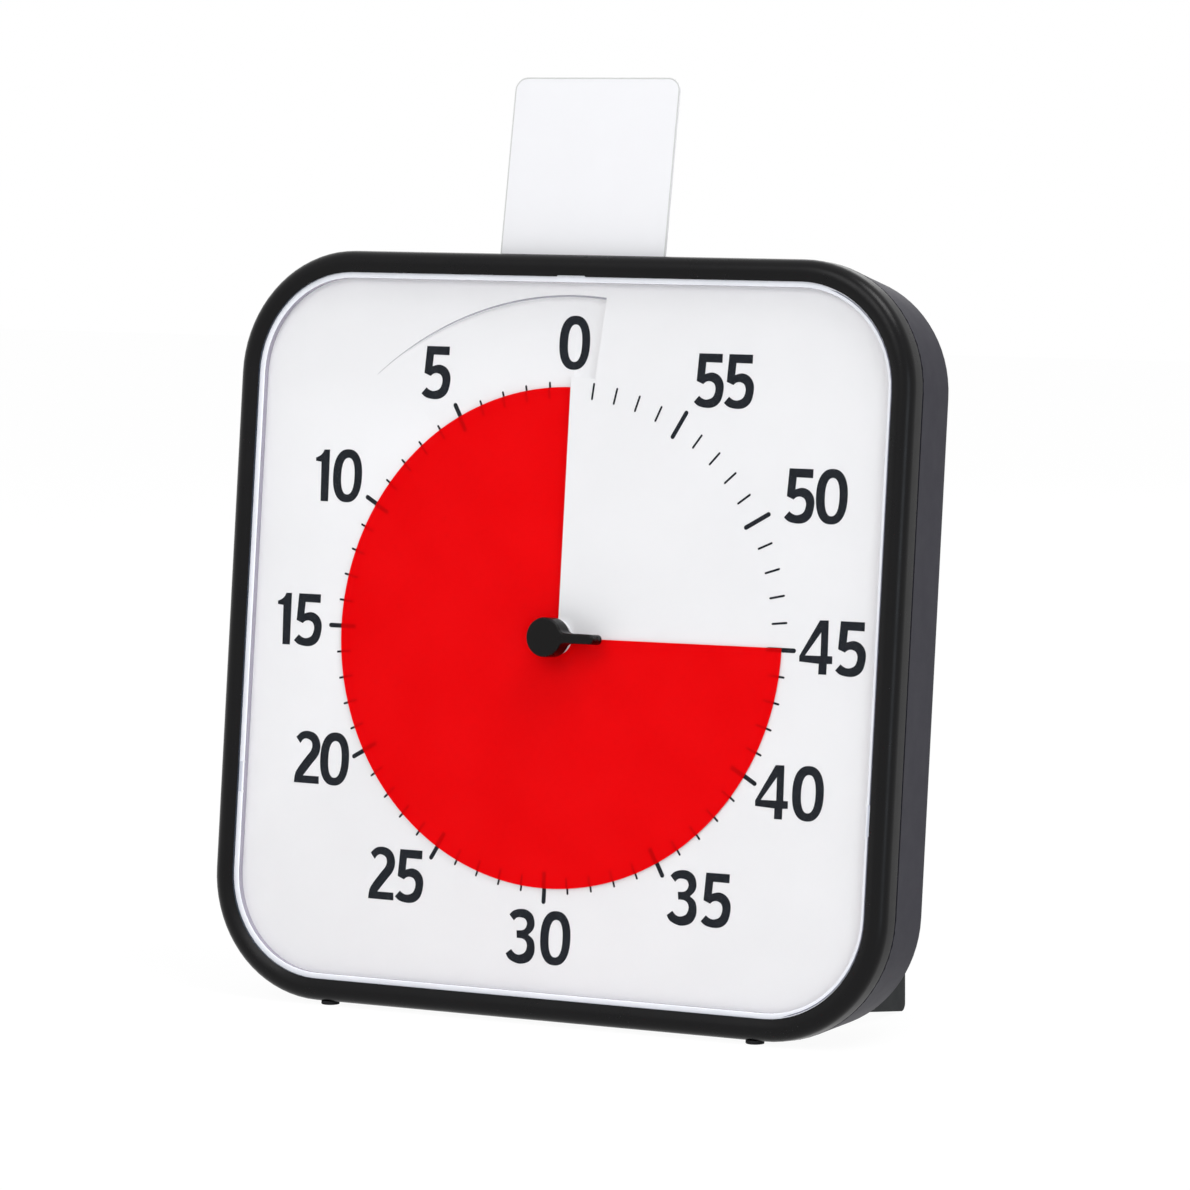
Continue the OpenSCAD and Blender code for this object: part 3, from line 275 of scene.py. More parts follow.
class Nodes:
    """A material's node tree with short calls to add and join nodes."""

    def __init__(self, name):
        self.material = bpy.data.materials.new(name)
        self.material.use_nodes = True
        self.tree = self.material.node_tree
        self.shader = self.tree.nodes["Principled BSDF"]
        self.output = self.tree.nodes["Material Output"]

    def add(self, kind, **values):
        node = self.tree.nodes.new("ShaderNode" + kind)
        for name, value in values.items():
            setattr(node, name, value)
        return node

    def join(self, out, into):
        self.tree.links.new(out, into)

    def math(self, operation, a, b=0.0):
        """One sum of two numbers or outputs."""
        node = self.add("Math", operation=operation)
        for socket, value in zip(node.inputs, (a, b)):
            if isinstance(value, (int, float)):
                socket.default_value = value
            else:
                self.join(value, socket)
        return node.outputs[0]

    def where(self):
        return self.add("TexCoord").outputs["Object"]

    def noise(self, size_mm, detail=2.0, rough=0.5, stretch=None):
        """Noise whose lumps are about size_mm across."""
        node = self.add("TexNoise")
        node.inputs["Scale"].default_value = 1 / (size_mm * MM)
        node.inputs["Detail"].default_value = detail
        node.inputs["Roughness"].default_value = rough
        place_at = self.where()
        if stretch:
            mapping = self.add("Mapping")
            mapping.inputs["Scale"].default_value = stretch
            self.join(place_at, mapping.inputs["Vector"])
            place_at = mapping.outputs[0]
        self.join(place_at, node.inputs["Vector"])
        return node.outputs["Fac"]

    def ramp(self, value, low, high, start=0.35, end=0.65):
        """A colour that goes from low to high while the value goes from start to end."""
        node = self.add("ValToRGB")
        for stop, at, color in zip(node.color_ramp.elements, (start, end), (low, high)):
            stop.position, stop.color = at, (*color, 1)
        self.join(value, node.inputs[0])
        return node.outputs[0]

    def color(self, *ramp):
        """Base colour from a ramp."""
        self.join(self.ramp(*ramp), self.shader.inputs["Base Color"])

    def gloss(self, noise, low, high):
        """Roughness between low and high, by a noise."""
        node = self.add("MapRange")
        for name, number in (("From Min", NOISE_LOW), ("From Max", NOISE_HIGH),
                             ("To Min", low), ("To Max", high)):
            node.inputs[name].default_value = number
        self.join(noise, node.inputs["Value"])
        self.join(node.outputs[0], self.shader.inputs["Roughness"])

    def bump(self, height, depth_mm, strength, edge_mm=0.0):
        """Relief from a height, over edges that look rounded by edge_mm."""
        node = self.add("Bump")
        node.inputs["Distance"].default_value = depth_mm * MM
        node.inputs["Strength"].default_value = strength
        self.join(height, node.inputs["Height"])
        if edge_mm:
            bevel = self.add("Bevel", samples=4)
            bevel.inputs["Radius"].default_value = edge_mm * MM
            self.join(bevel.outputs[0], node.inputs["Normal"])
        self.join(node.outputs[0], self.shader.inputs["Normal"])

    def set(self, **values):
        """Numbers and colours on the shader's own sockets."""
        names = {"specular": "Specular IOR Level", "metal": "Metallic", "alpha": "Alpha",
                 "rough": "Roughness", "color": "Base Color"}
        for name, value in values.items():
            if name == "color":
                value = (*value, 1)
            self.shader.inputs[names[name]].default_value = value


def plastic(name, color, rough, specular, grain=0.5, grain_depth=0.02, spread=0.12, edge=0.3):
    """Moulded plastic: a fine spark-eroded grain, and slow changes of tone and gloss."""
    n = Nodes(name)
    low = tuple(c * (1 - spread) for c in color)
    high = tuple(min(1, c * (1 + spread)) for c in color)
    n.color(n.noise(34, detail=3), low, high)
    gloss = 0.015 + spread / 4
    n.gloss(n.noise(9, detail=4, rough=0.6), rough - gloss, rough + gloss)
    n.bump(n.noise(grain, rough=0.6), grain_depth, 0.5, edge)
    n.set(specular=specular)
    return n.material


def metal(name, color, rough, stretch=(1, 1, 1)):
    """Metal with the fine lines of drawing or turning, and duller spots."""
    n = Nodes(name)
    lines = n.noise(0.6, detail=4, rough=0.7, stretch=stretch)
    low = tuple(c * (1 - METAL_SPREAD) for c in color)
    n.color(lines, low, color, NOISE_LOW, NOISE_HIGH)
    n.gloss(n.noise(5, detail=4), rough - 0.06, rough + 0.1)
    n.bump(lines, depth_mm=0.01, strength=0.4, edge_mm=0.1)
    n.set(metal=1.0)
    return n.material


def red_sheet():
    """Satin red sheet through which the dial's minute marks show a little darker."""
    n = Nodes("disc_red")
    mapping = n.add("Mapping", vector_type="TEXTURE")
    mapping.inputs["Location"].default_value = ORIGIN
    mapping.inputs["Rotation"].default_value = (math.atan2(INTO.z, INTO.y), 0, 0)
    n.join(n.where(), mapping.inputs["Vector"])
    parts = n.add("SeparateXYZ")
    n.join(mapping.outputs[0], parts.inputs[0])
    x, z = parts.outputs["X"], parts.outputs["Z"]
    r = n.math("SQRT", n.math("ADD", n.math("MULTIPLY", x, x), n.math("MULTIPLY", z, z)))
    share = n.math("DIVIDE", n.math("ARCTAN2", x, z), 2 * math.pi)

    def marks(count, tick):
        """1 on one of count marks round the dial, else 0."""
        turns = n.math("MULTIPLY", share, count)
        off = n.math("ABSOLUTE", n.math("SUBTRACT", turns, n.math("ROUND", turns)))
        across = n.math("MULTIPLY", n.math("MULTIPLY", off, 2 * math.pi / count), r)
        thin = n.math("LESS_THAN", across, tick[2] / 2 * MM)
        inside = n.math("GREATER_THAN", r, tick[0] * MM)
        return n.math("MULTIPLY", thin, inside)

    both = n.math("MAXIMUM", marks(TICKS, MINOR_TICK), marks(TICKS // MAJOR_EVERY, MAJOR_TICK))
    tone = n.ramp(n.noise(28, detail=3), RED_LOW, RED_HIGH)
    mix = n.add("Mix", data_type="RGBA", blend_type="MULTIPLY")
    mix.inputs["B"].default_value = (*RED_OVER_MARK, 1)
    n.join(both, mix.inputs["Factor"])
    n.join(tone, mix.inputs["A"])
    n.join(mix.outputs["Result"], n.shader.inputs["Base Color"])
    n.gloss(n.noise(6, detail=3), 0.42, 0.52)
    n.bump(n.noise(40), depth_mm=0.25, strength=0.12)
    n.set(specular=0.01)
    return n.material


def ink():
    """Printed charcoal, a little uneven where it lies thinner."""
    n = Nodes("dial_ink")
    n.color(n.noise(1.6, detail=4, rough=0.6), INK_LOW, INK_HIGH, NOISE_LOW, NOISE_HIGH)
    n.gloss(n.noise(3), 0.5, 0.62)
    n.bump(n.noise(0.3), depth_mm=0.004, strength=0.5)
    n.set(specular=0.08)
    return n.material


def clear(name, color, alpha, rough):
    """Clear acrylic with the faint haze that wiping leaves, or milky where alpha is 1."""
    n = Nodes(name)
    n.color(n.noise(20, detail=3), tuple(0.96 * c for c in color), color)
    n.gloss(n.noise(12, detail=5, rough=0.7), rough, rough + 0.06)
    n.set(alpha=alpha, specular=0.5)
    return n.material


def rubber():
    n = Nodes("pad_rubber")
    n.color(n.noise(4, detail=4), (0.012, 0.012, 0.013), (0.022, 0.022, 0.023))
    n.gloss(n.noise(2), 0.75, 0.9)
    n.bump(n.noise(0.4), depth_mm=0.03, strength=0.7, edge_mm=0.4)
    n.set(specular=0.2)
    return n.material


def board():
    """Lacquered circuit board with the tracks under its lacquer."""
    n = Nodes("board_green")
    tracks = n.add("TexBrick")
    tracks.inputs["Scale"].default_value = 220
    tracks.inputs["Color1"].default_value = (0.02, 0.16, 0.07, 1)
    tracks.inputs["Color2"].default_value = (0.025, 0.2, 0.085, 1)
    tracks.inputs["Mortar"].default_value = (0.05, 0.3, 0.13, 1)
    tracks.inputs["Mortar Size"].default_value = 0.03
    n.join(n.where(), tracks.inputs["Vector"])
    n.join(tracks.outputs["Color"], n.shader.inputs["Base Color"])
    n.gloss(n.noise(4), 0.25, 0.35)
    n.bump(tracks.outputs["Fac"], depth_mm=0.03, strength=0.5)
    return n.material


def winding():
    """Enamelled copper wire, wound side by side."""
    n = Nodes("copper_wire")
    wave = n.add("TexWave", bands_direction="X")
    wave.inputs["Scale"].default_value = 900
    wave.inputs["Distortion"].default_value = 0.4
    n.join(n.where(), wave.inputs["Vector"])
    n.color(wave.outputs["Fac"], (0.25, 0.08, 0.03), (0.75, 0.33, 0.15), 0.1, 0.9)
    n.bump(wave.outputs["Fac"], depth_mm=0.08, strength=0.8)
    n.set(metal=0.7, rough=0.35)
    return n.material


def make_materials():
    """Every slot of the record, by its name."""
    return {
        **{name: plastic(name, **values) for name, values in PLASTICS.items()},
        "disc_red": red_sheet(),
        "pad_rubber": rubber(),
        "board_green": board(),
        "copper_wire": winding(),
        "steel": metal("steel", (0.6, 0.6, 0.62), 0.3, stretch=(1, 8, 1)),
        "brass_plain": metal("brass_plain", (0.72, 0.56, 0.26), 0.3),
        "clear_lens": clear("clear_lens", *PANE),
    }


# ---------- meshes ----------


def smooth_group():
    """Node group that shades a mesh smooth except at its real edges."""
    group = bpy.data.node_groups.new("smooth_by_angle", "GeometryNodeTree")
    for way in ("INPUT", "OUTPUT"):
        group.interface.new_socket("Geometry", in_out=way, socket_type="NodeSocketGeometry")
    nodes, join = group.nodes, group.links.new
    start, end = nodes.new("NodeGroupInput"), nodes.new("NodeGroupOutput")
    bare = nodes.new("GeometryNodeRemoveAttribute")
    bare.inputs["Name"].default_value = "custom_normal"
    merge = nodes.new("GeometryNodeMergeByDistance")
    merge.inputs["Distance"].default_value = SAME_PLACE
    angle = nodes.new("GeometryNodeInputMeshEdgeAngle")
    flat = nodes.new("FunctionNodeCompare")
    flat.operation = "LESS_THAN"
    flat.inputs["B"].default_value = math.radians(SMOOTH_A)
    faces, edges = (nodes.new("GeometryNodeSetShadeSmooth") for _ in range(2))
    edges.domain = "EDGE"
    join(start.outputs[0], bare.inputs["Geometry"])
    join(bare.outputs[0], merge.inputs["Geometry"])
    join(merge.outputs[0], faces.inputs["Geometry"])
    join(faces.outputs[0], edges.inputs["Geometry"])
    join(angle.outputs["Unsigned Angle"], flat.inputs["A"])
    join(flat.outputs[0], edges.inputs["Shade Smooth"])
    join(edges.outputs[0], end.inputs[0])
    return group


def smooth(obj, group):
    obj.modifiers.new("smooth_by_angle", "NODES").node_group = group


def piece(name, places, faces, material, body=None):
    """A mesh piece from places in the case's frame."""
    mesh = bpy.data.meshes.new(name)
    mesh.from_pydata([place(*p) for p in places], [], faces)
    mesh.update()
    shape = bmesh.new()
    shape.from_mesh(mesh)
    bmesh.ops.recalc_face_normals(shape, faces=shape.faces)
    shape.to_mesh(mesh)
    shape.free()
    mesh.materials.append(material)
    obj = bpy.data.objects.new(name, mesh)
    bpy.context.scene.collection.objects.link(obj)
    if body:
        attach(obj, body)
    return obj


def ring_piece(name, loops, material, body=None, capped=False):
    """A piece that joins each closed loop of points to the next, with both ends closed if capped."""
    n = len(loops[0])
    places = [p for loop in loops for p in loop]
    faces = [(a * n + i, a * n + (i + 1) % n, (a + 1) * n + (i + 1) % n, (a + 1) * n + i)
             for a in range(len(loops) - 1) for i in range(n)]
    if capped:
        faces += [tuple(range(n)), tuple(range(len(places) - n, len(places)))]
    return piece(name, places, faces, material, body)


def strip_piece(name, side, other, material, slot):
    """A flat strip on the case between two open lines of as many points."""
    n = len(side)
    faces = [(i, i + 1, n + i + 1, n + i) for i in range(n - 1)]
    return piece(name, side + other, faces, material, "case")


def rounded_rectangle(half_w, low, high, corner, steps=8):
    """Points round a rectangle with rounded corners, counter-clockwise."""
    points = []
    for k, (x, z) in enumerate(((half_w - corner, high - corner), (corner - half_w, high - corner),
                                (corner - half_w, low + corner), (half_w - corner, low + corner))):
        for i in range(steps + 1):
            b = math.radians(90 * (k + i / steps))
            points.append((x + corner * math.cos(b), z + corner * math.sin(b)))
    return points


def rounded_square(half, corner):
    """Points round a square with rounded corners, counter-clockwise."""
    return rounded_rectangle(half, -half, half, corner, steps=16)


def square(half, corner, y):
    """Places round a square with rounded corners, at depth y."""
    return [(x, y, z) for x, z in rounded_square(half, corner)]


def circle(r, y, steps):
    """Places round the dial's middle, at depth y."""
    return [(r * math.cos(2 * math.pi * k / steps), y, r * math.sin(2 * math.pi * k / steps))
            for k in range(steps)]


def on_dial(a, across, out):
    """The x and z of a place so far out along the dial's line at angle a, and so far beside it."""
    s, c = math.sin(math.radians(a)), math.cos(math.radians(a))
    return c * across - s * out, s * across + c * out


# ---------- print on the dial ----------


def curve_through(points, steps=5):
    """Points of a smooth closed line, straight into its corners."""
    line, n = [], len(points)
    for i in range(n):
        p0, p1, p2, p3 = (Vector(points[(i + k) % n][:2]) for k in (-1, 0, 1, 2))
        from_corner, to_corner = len(points[i]) > 2, len(points[(i + 1) % n]) > 2
        if from_corner and to_corner:
            line.append(p1)
            continue
        if from_corner:
            p0 = p1
        if to_corner:
            p3 = p2
        for k in range(steps):
            t = k / steps
            line.append(((2 * p1) + (p2 - p0) * t + (2 * p0 - 5 * p1 + 4 * p2 - p3) * t ** 2
                         + (3 * p1 - p0 - 3 * p2 + p3) * t ** 3) / 2)
    return [(p.x, p.y) for p in line]


def nought(middle_x, middle_z, half_w, half_h, steps=48):
    """One outline of the digit 0, between an ellipse and a rectangle."""
    line = []
    for k in range(steps):
        c, s = math.cos(2 * math.pi * k / steps), math.sin(2 * math.pi * k / steps)
        line.append((middle_x + half_w * math.copysign(abs(c) ** (2 / ZERO_SQUARE), c),
                     middle_z + half_h * math.copysign(abs(s) ** (2 / ZERO_SQUARE), s)))
    return line


def tick_line(k):
    """Outline of minute mark k, with round ends."""
    inner, outer, width = MAJOR_TICK if k % MAJOR_EVERY == 0 else MINOR_TICK
    w, line = width / 2, []
    for middle, start in ((outer - w, 0), (inner + w, 180)):
        for i in range(TICK_END_STEPS + 1):
            b = math.radians(start + 180 * i / TICK_END_STEPS)
            line.append(on_dial(360 / TICKS * k, w * math.cos(b), middle + w * math.sin(b)))
    return line


def dial_depth(x, z):
    """Depth of the dial's surface, which sinks along the ramp."""
    r, a = math.hypot(x, z), math.degrees(math.atan2(-x, z))
    on_ramp = 0 <= a <= RAMP_FADE_A and r <= RAMP_R
    past_slit = -RAMP_STEP_A <= a < 0 and SLIT_R <= r <= RAMP_R
    if on_ramp or past_slit:
        return RAMP_D * (RAMP_FADE_A - a) / (RAMP_FADE_A + RAMP_STEP_A)
    return 0.0


def printed(name, lines, material, max_edge=2.0, cuts=4):
    """Print on the dial, filled between closed lines and cut fine enough to follow the ramp."""
    curve = bpy.data.curves.new(name, "CURVE")
    curve.dimensions, curve.fill_mode = "2D", "BOTH"
    for line in lines:
        spline = curve.splines.new("POLY")
        spline.points.add(len(line) - 1)
        for point, (x, z) in zip(spline.points, line):
            point.co = (x, z, 0, 1)
        spline.use_cyclic_u = True
    filled = bpy.data.objects.new(name, curve)
    bpy.context.scene.collection.objects.link(filled)
    shape = bmesh.new()
    shape.from_mesh(filled.to_mesh())
    bpy.data.objects.remove(filled)
    bmesh.ops.remove_doubles(shape, verts=shape.verts, dist=1e-4)
    for _ in range(cuts):
        on_ramp = [e for e in shape.edges if e.calc_length() > max_edge
                   and any(dial_depth(v.co.x, v.co.y) for v in e.verts)]
        if on_ramp:
            bmesh.ops.subdivide_edges(shape, edges=on_ramp, cuts=1)
    bmesh.ops.triangulate(shape, faces=[f for f in shape.faces if len(f.verts) > 4])
    places = [(v.co.x, dial_depth(v.co.x, v.co.y) - INK_GAP, v.co.y) for v in shape.verts]
    shape.verts.index_update()
    faces = [[v.index for v in f.verts] for f in shape.faces]
    shape.free()
    return piece(name, places, faces, material, "case")


def dial_print(material):
    printed("minute_marks", [tick_line(k) for k in range(1, TICKS)], material)
    digits = {digit: [curve_through(line) for line in lines] for digit, lines in DIGITS.items()}
    digits["0"] = [nought(*ZERO_OUT), nought(*ZERO_IN)]
    lines = [[(x + px, z + pz) for px, pz in line]
             for digit, x, z in NUMERALS for line in digits[digit]]
    printed("minute_numerals", lines, material)


# ---------- pieces ----------


def disc_depth(a):
    """Front of the disc at angle a: behind the dial, up the ramp, then in front of the dial."""
    if a <= 0:
        return DISC_BACK
    left = 1 - min(1, a / RAMP_FADE_A)
    return DISC_FRONT + (DISC_BACK - DISC_FRONT) * left ** RAMP_BEND


def time_disc(material):
    """The red sheet. It winds through the slit as the knob turns, so it bends from case to knob."""
    low_a, high_a = SET_A - 360 + DISC_OVER_A, SET_A + DISC_OVER_A
    angles = [low_a * (1 - k / DISC_STEPS_BEHIND) for k in range(DISC_STEPS_BEHIND + 1)]
    angles += [high_a * (k + 1) / DISC_STEPS_FRONT for k in range(DISC_STEPS_FRONT)]
    outline = [(r, 0.0) for r in DISC_RADII] + [(r, DISC_T) for r in reversed(DISC_RADII)]
    loops = []
    for a in angles:
        line = [(on_dial(a, 0, r), disc_depth(a) + depth) for r, depth in outline]
        loops.append([(x, y, z) for (x, z), y in line])
    sheet = ring_piece("time_disc_sheet", loops, material, capped=True)
    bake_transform(sheet, "case", "setting", start=place(0, 0, DISC_R), end=place(DISC_R, 0, 0))
    share = sheet.data.attributes["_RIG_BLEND"].data
    for item, a in zip(share, (a for a in angles for _ in outline)):
        item.value = a / high_a if a > 0 else a / low_a
    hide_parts("time_disc")
    return sheet


def knob_line(inset, steps=24):
    """Outline of the knob with its pointer along +u, drawn in by inset."""
    arm, head, fillet = POINTER_W / 2 - inset, KNOB_R - inset, POINTER_FILLET + inset
    fillet_v = arm + fillet
    fillet_u = math.sqrt((head + fillet) ** 2 - fillet_v ** 2)
    tip = POINTER_L - POINTER_W / 2
    meet = math.atan2(fillet_v, fillet_u)
    line = [(tip + arm * math.cos(b), arm * math.sin(b))
            for b in (math.radians(-90 + 180 * i / steps) for i in range(steps + 1))]
    line += [(fillet_u + fillet * math.cos(b), fillet_v + fillet * math.sin(b))
             for b in (-math.pi / 2 - (math.pi / 2 - meet) * i / steps for i in range(steps + 1))]
    line += [(head * math.cos(b), head * math.sin(b))
             for b in (meet + (2 * math.pi - 2 * meet) * i / (3 * steps)
                       for i in range(1, 3 * steps))]
    line += [(fillet_u + fillet * math.cos(b), -fillet_v + fillet * math.sin(b))
             for b in (math.pi - meet - (math.pi / 2 - meet) * i / steps for i in range(steps + 1))]
    return line


def knob(material):
    """Knob with a softly rounded front edge; its pointer stands where the disc ends."""

    def ring(inset, y):
        points = (on_dial(SET_A, v, u) for u, v in knob_line(inset))
        return [(x, y, z) for x, z in points]

    loops = [ring(KNOB_BACK_EDGE, KNOB_BACK), ring(0, KNOB_BACK - KNOB_BACK_EDGE)]
    for k in range(KNOB_LAYERS + 1):
        b = math.pi / 2 * k / KNOB_LAYERS
        loops.append(ring(KNOB_EDGE * (1 - math.cos(b)), KNOB_FRONT + KNOB_EDGE * (1 - math.sin(b))))
    made = ring_piece("knob_form", loops, material, "setting", capped=True)
    neck = [circle(NECK_R, y, NECK_STEPS) for y in (KNOB_BACK, NECK_BACK)]
    collar = ring_piece("knob_neck", neck, material, "setting", capped=True)
    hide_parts("knob")
    return made, collar


def dial_bush(material):
    """White ring round the hole in the dial, which shows beside the knob."""
    loops = [circle(r, y, BUSH_STEPS) for r, y in
             ((BUSH_FLANGE_R, -INK_GAP), (BUSH_R, -INK_GAP), (BUSH_R, BUSH_FRONT),
              (BUSH_IN_R, BUSH_FRONT), (BUSH_IN_R, -INK_GAP))]
    return ring_piece("dial_bush", loops, material, "case")


def ramp_painted_shadow(material, steps=60):
    """Painted shadow of the ramp's wall: a thin dark sheet just in front of the dial, thinner as the wall gets
    lower.
    """
    inner, outer = [], []
    last = RAMP_FADE_A + RAMP_LINE_PAST_A
    for k in range(steps + 1):
        a = -RAMP_STEP_A + (last + RAMP_STEP_A) * k / steps
        thinned = max(0.0, a - RAMP_LINE_WIDE_A) / (last - RAMP_LINE_WIDE_A)
        half = (RAMP_LINE + (RAMP_LINE_THIN - RAMP_LINE) * thinned) / 2
        for line, r in ((inner, RAMP_R - half), (outer, RAMP_R + half)):
            x, z = on_dial(a, 0, r)
            line.append((x, -INK_GAP, z))
    return strip_piece("ramp_painted_shadow", inner, outer, material, "dial_white")


def seam_painted_shadow(material):
    """Painted shadow of the groove between bezel and rear housing: a dark sheet laid over it."""
    loops = [square(CASE - inset, CASE_CORNER, y) for y, inset in SEAM_EDGES]
    return ring_piece("seam_painted_shadow", loops, material, "case")


def card_border(material):
    """Grey edge of the card's clear cover, a hair in front of the card and inside its outline."""
    lean = math.radians(CARD_LEAN)
    front = -CARD_T / 2 - CARD_EDGE_GAP

    def loop(inset):
        points = rounded_rectangle(CARD_W / 2 - inset, -CARD_IN + inset, CARD_H - CARD_IN - inset,
                                   CARD_CORNER - inset)
        return [(x, CARD_Y + front * math.cos(lean) + v * math.sin(lean),
                 CARD_FOOT - front * math.sin(lean) + v * math.cos(lean)) for x, v in points]

    return ring_piece("card_border", [loop(CARD_EDGE), loop(CARD_EDGE_IN)], material,
                      "card")


def lens_tab():
    """The tab that stands up from the lens's border, a little smaller at its front."""
    half, (shoulder_x, shoulder_z) = TAB_W / 2, TAB_SHOULDER
    root = [(-half, WINDOW - TAB_ROOT), (half, WINDOW - TAB_ROOT),
            (half - shoulder_x, WINDOW + shoulder_z), (half - TAB_TIP, WINDOW + TAB_REACH),
            (TAB_TIP - half, WINDOW + TAB_REACH), (shoulder_x - half, WINDOW + shoulder_z)]
    front = [(x * (1 - TAB_TAPER[0]), z - (z - WINDOW) * TAB_TAPER[1]) for x, z in root]
    loops = [[(x, y, z) for x, z in line]
             for line, y in ((root, LENS_SEAT), (root, TAB_FRONT + TAB_EDGE), (front, TAB_FRONT))]
    return ring_piece("lens_tab", loops, clear("lens_tab", *TAB), "case", capped=True)


def lens_clips():
    """The lens's clip on each side, which shows as a greyer stretch between two painted glints, small bright
    marks.
    """
    stretches = [(CLIP_LOW, CLIP_HIGH, WINDOW - CLIP_OUT_GAP, LENS_IN + CLIP_IN)]
    stretches += [(z - CLIP_GLINT_HEIGHT / 2, z + CLIP_GLINT_HEIGHT / 2, LENS_IN + CLIP_IN, LENS_IN - CLIP_GLINT_IN)
                  for z in (CLIP_LOW, CLIP_HIGH)]
    places = [(side * x, LENS_SEAT - CLIP_GAP, z) for side in (-1, 1)
              for low, high, out, inner in stretches
              for x, z in ((out, low), (inner, low), (inner, high), (out, high))]
    faces = [tuple(range(n, n + 4)) for n in range(0, len(places), 4)]
    clips = piece("lens_clips", places, faces, clear("clip_grey", *CLIP), "case")
    clips.data.materials.append(clear("clip_painted_glint", *CLIP_GLINT_PAINT))
    for k, face in enumerate(clips.data.polygons):
        face.material_index = min(1, k % len(stretches))
    return clips


def lens(material):
    """Clear pane with its hole, its milky border with darker edges, the window's edge with a painted bluish glint,
    and the tab.
    """
    hole_angles = [math.atan2(z, x) for x, z in rounded_square(LENS_IN, WINDOW_CORNER)]

    def hole(y):
        return [(LENS_HOLE_R * math.cos(b), y, LENS_HOLE_R * math.sin(b)) for b in hole_angles]

    front, back = LENS_FRONT, LENS_FRONT + LENS_T
    pane = ring_piece("lens_pane", [square(LENS_IN, LENS_IN_CORNER, front), hole(front), hole(back),
                                    square(LENS_IN, LENS_IN_CORNER, back)],
                      material, "case")
    bevel = [square(LENS_IN + k, LENS_IN_CORNER + k, LENS_SEAT + LENS_CHAMFER - k)
             for k in (LENS_CHAMFER, 0)]
    rim = ring_piece("lens_rim", [square(LENS_OUT, LENS_OUT_CORNER, LENS_BACK),
                                  square(LENS_OUT, LENS_OUT_CORNER, LENS_SEAT), *bevel],
                     clear("lens_rim", *RIM), "case")
    edge = ring_piece("lens_edge", [bevel[-1], square(LENS_IN, LENS_IN_CORNER, LENS_BACK)],
                      clear("lens_edge", *RIM_EDGE), "case")
    sides = [sorted((p for p in square(LENS_IN + k, LENS_IN_CORNER + k, LENS_SEAT - LENS_LINE_GAP)
                     if p[0] > LENS_LINE_SIDE), key=lambda p: p[2])
             for k in (LENS_LINE_IN, LENS_LINE_IN + LENS_LINE)]
    line = strip_piece("lens_line", *sides, clear("lens_line", *RIM_LINE), "clear_lens")
    # The window's edge is black bezel plastic whose colour carries a painted bluish glint
    wall = ring_piece("window_edge_painted_glint", [square(WINDOW - WINDOW_GAP, WINDOW_CORNER - WINDOW_GAP, y)
                                      for y in (WINDOW_FRONT, LENS_SEAT)],
                      plastic("window_edge_painted_glint", **WINDOW_EDGE_BLUE_GLINT), "case")
    tab = lens_tab()
    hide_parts("lens")
    return pane, rim, edge, line, wall, tab, lens_clips()


# ---------- studio ----------


def seen_directly(tree):
    """1 for rays from the camera, a reflection or a clear pane, else 0."""
    path = tree.nodes.new("ShaderNodeLightPath")
    seen = path.outputs["Is Camera Ray"]
    for name in ("Is Glossy Ray", "Is Transmission Ray"):
        most = tree.nodes.new("ShaderNodeMath")
        most.operation = "MAXIMUM"
        tree.links.new(seen, most.inputs[0])
        tree.links.new(path.outputs[name], most.inputs[1])
        seen = most.outputs[0]
    return seen


def studio_floor():
    """Pale floor that shows white to the camera and keeps the object's shadow."""
    n = Nodes("studio_floor")
    n.set(color=FLOOR_COLOR, rough=0.9, specular=0.1)
    light = n.add("Emission")
    light.inputs["Strength"].default_value = FLOOR_WHITE
    seen = seen_directly(n.tree)
    mix = n.add("MixShader")
    n.join(n.math("MULTIPLY", seen, FLOOR_WHITE_SHARE), mix.inputs[0])
    n.join(n.shader.outputs[0], mix.inputs[1])
    n.join(light.outputs[0], mix.inputs[2])
    n.join(mix.outputs[0], n.output.inputs["Surface"])
    corners = [(x * FLOOR_HALF, y * FLOOR_HALF, 0) for x, y in ((-1, -1), (1, -1), (1, 1), (-1, 1))]
    mesh = bpy.data.meshes.new("studio_floor")
    mesh.from_pydata(corners, [], [(0, 1, 2, 3)])
    mesh.materials.append(n.material)
    floor = bpy.data.objects.new("studio_floor", mesh)
    bpy.context.scene.collection.objects.link(floor)


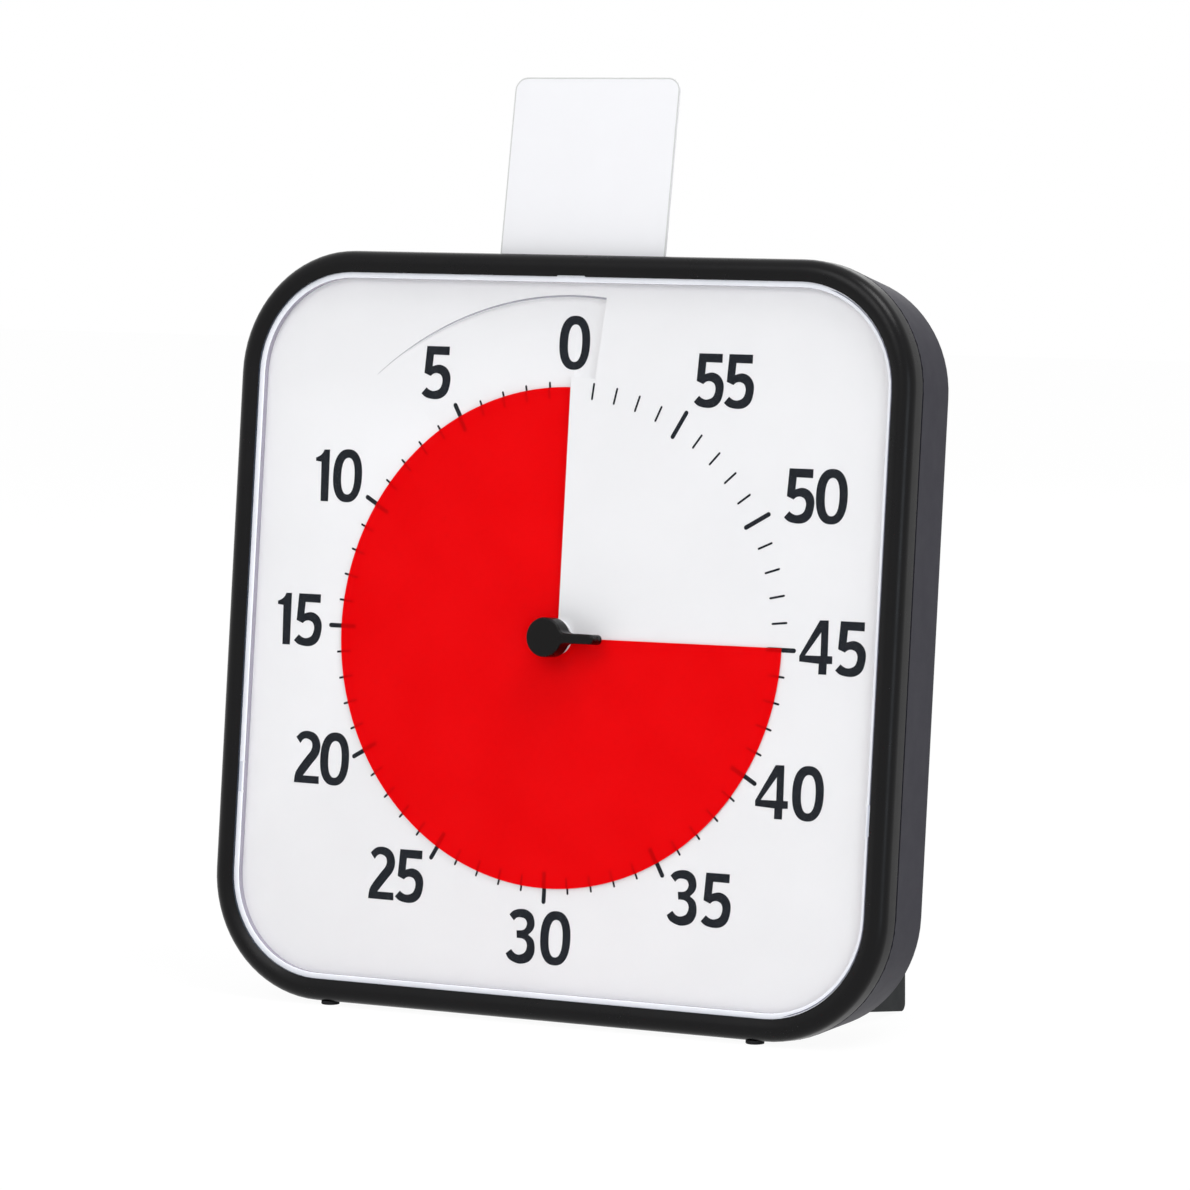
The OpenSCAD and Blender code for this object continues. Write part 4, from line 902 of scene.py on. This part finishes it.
def studio_world():
    """White to the camera and to reflections; a softer fill on the object."""
    world = bpy.data.worlds.new("studio_world")
    bpy.context.scene.world = world
    world.use_nodes = True
    tree = world.node_tree
    strength = tree.nodes.new("ShaderNodeMapRange")
    strength.inputs["To Min"].default_value = WORLD_FILL
    tree.links.new(seen_directly(tree), strength.inputs["Value"])
    background = tree.nodes["Background"]
    tree.links.new(strength.outputs[0], background.inputs["Strength"])
    background.inputs["Color"].default_value = (1, 1, 1, 1)


def area_lamp(name, at, size, power, color):
    data = bpy.data.lights.new(name, "AREA")
    data.shape, data.size, data.energy, data.color = "DISK", size, power, color
    lamp = bpy.data.objects.new(name, data)
    lamp.location = at
    lamp.rotation_euler = (Vector(LAMP_AIM) - Vector(at)).to_track_quat("-Z", "Y").to_euler()
    bpy.context.scene.collection.objects.link(lamp)


def studio_camera():
    data = bpy.data.cameras.new("camera")
    data.lens, data.sensor_width = CAMERA_LENS, CAMERA_SENSOR
    data.clip_start, data.clip_end = CAMERA_CLIP
    right = turn(*CAMERA_RIGHT).normalized()
    back = right.cross(turn(*CAMERA_UP)).normalized()
    axes = Matrix((right, back.cross(right), back)).transposed().to_4x4()
    camera = bpy.data.objects.new("camera", data)
    camera.matrix_world = Matrix.Translation(place(*CAMERA_AT)) @ axes
    bpy.context.scene.collection.objects.link(camera)
    bpy.context.scene.camera = camera


# ---------- assembly ----------

materials = make_materials()
smoothing = smooth_group()
slots = {s["node"]: s["material_slot"] for s in frame["record"]["subparts"]}
for node, obj in frame["nodes"].items():
    obj.data.materials.clear()
    obj.data.materials.append(materials[slots[node]])
    smooth(obj, smoothing)

dial_print(ink())
pieces = (
    time_disc(materials["disc_red"]),
    dial_bush(materials["dial_white"]),
    ramp_painted_shadow(clear("ramp_shade", *RAMP_SHADE)),
    seam_painted_shadow(plastic("seam_shade_paint", **PAINTED_SEAM_SHADE)),
    card_border(clear("card_edge", *CARD_RIM)),
    *knob(materials["knob_black"]),
    *lens(materials["clear_lens"]),
)
for made in pieces:
    smooth(made, smoothing)

studio_floor()
studio_world()
for lamp in LAMPS:
    area_lamp(*lamp)
studio_camera()

bpy.context.scene.view_settings.view_transform = "Standard"
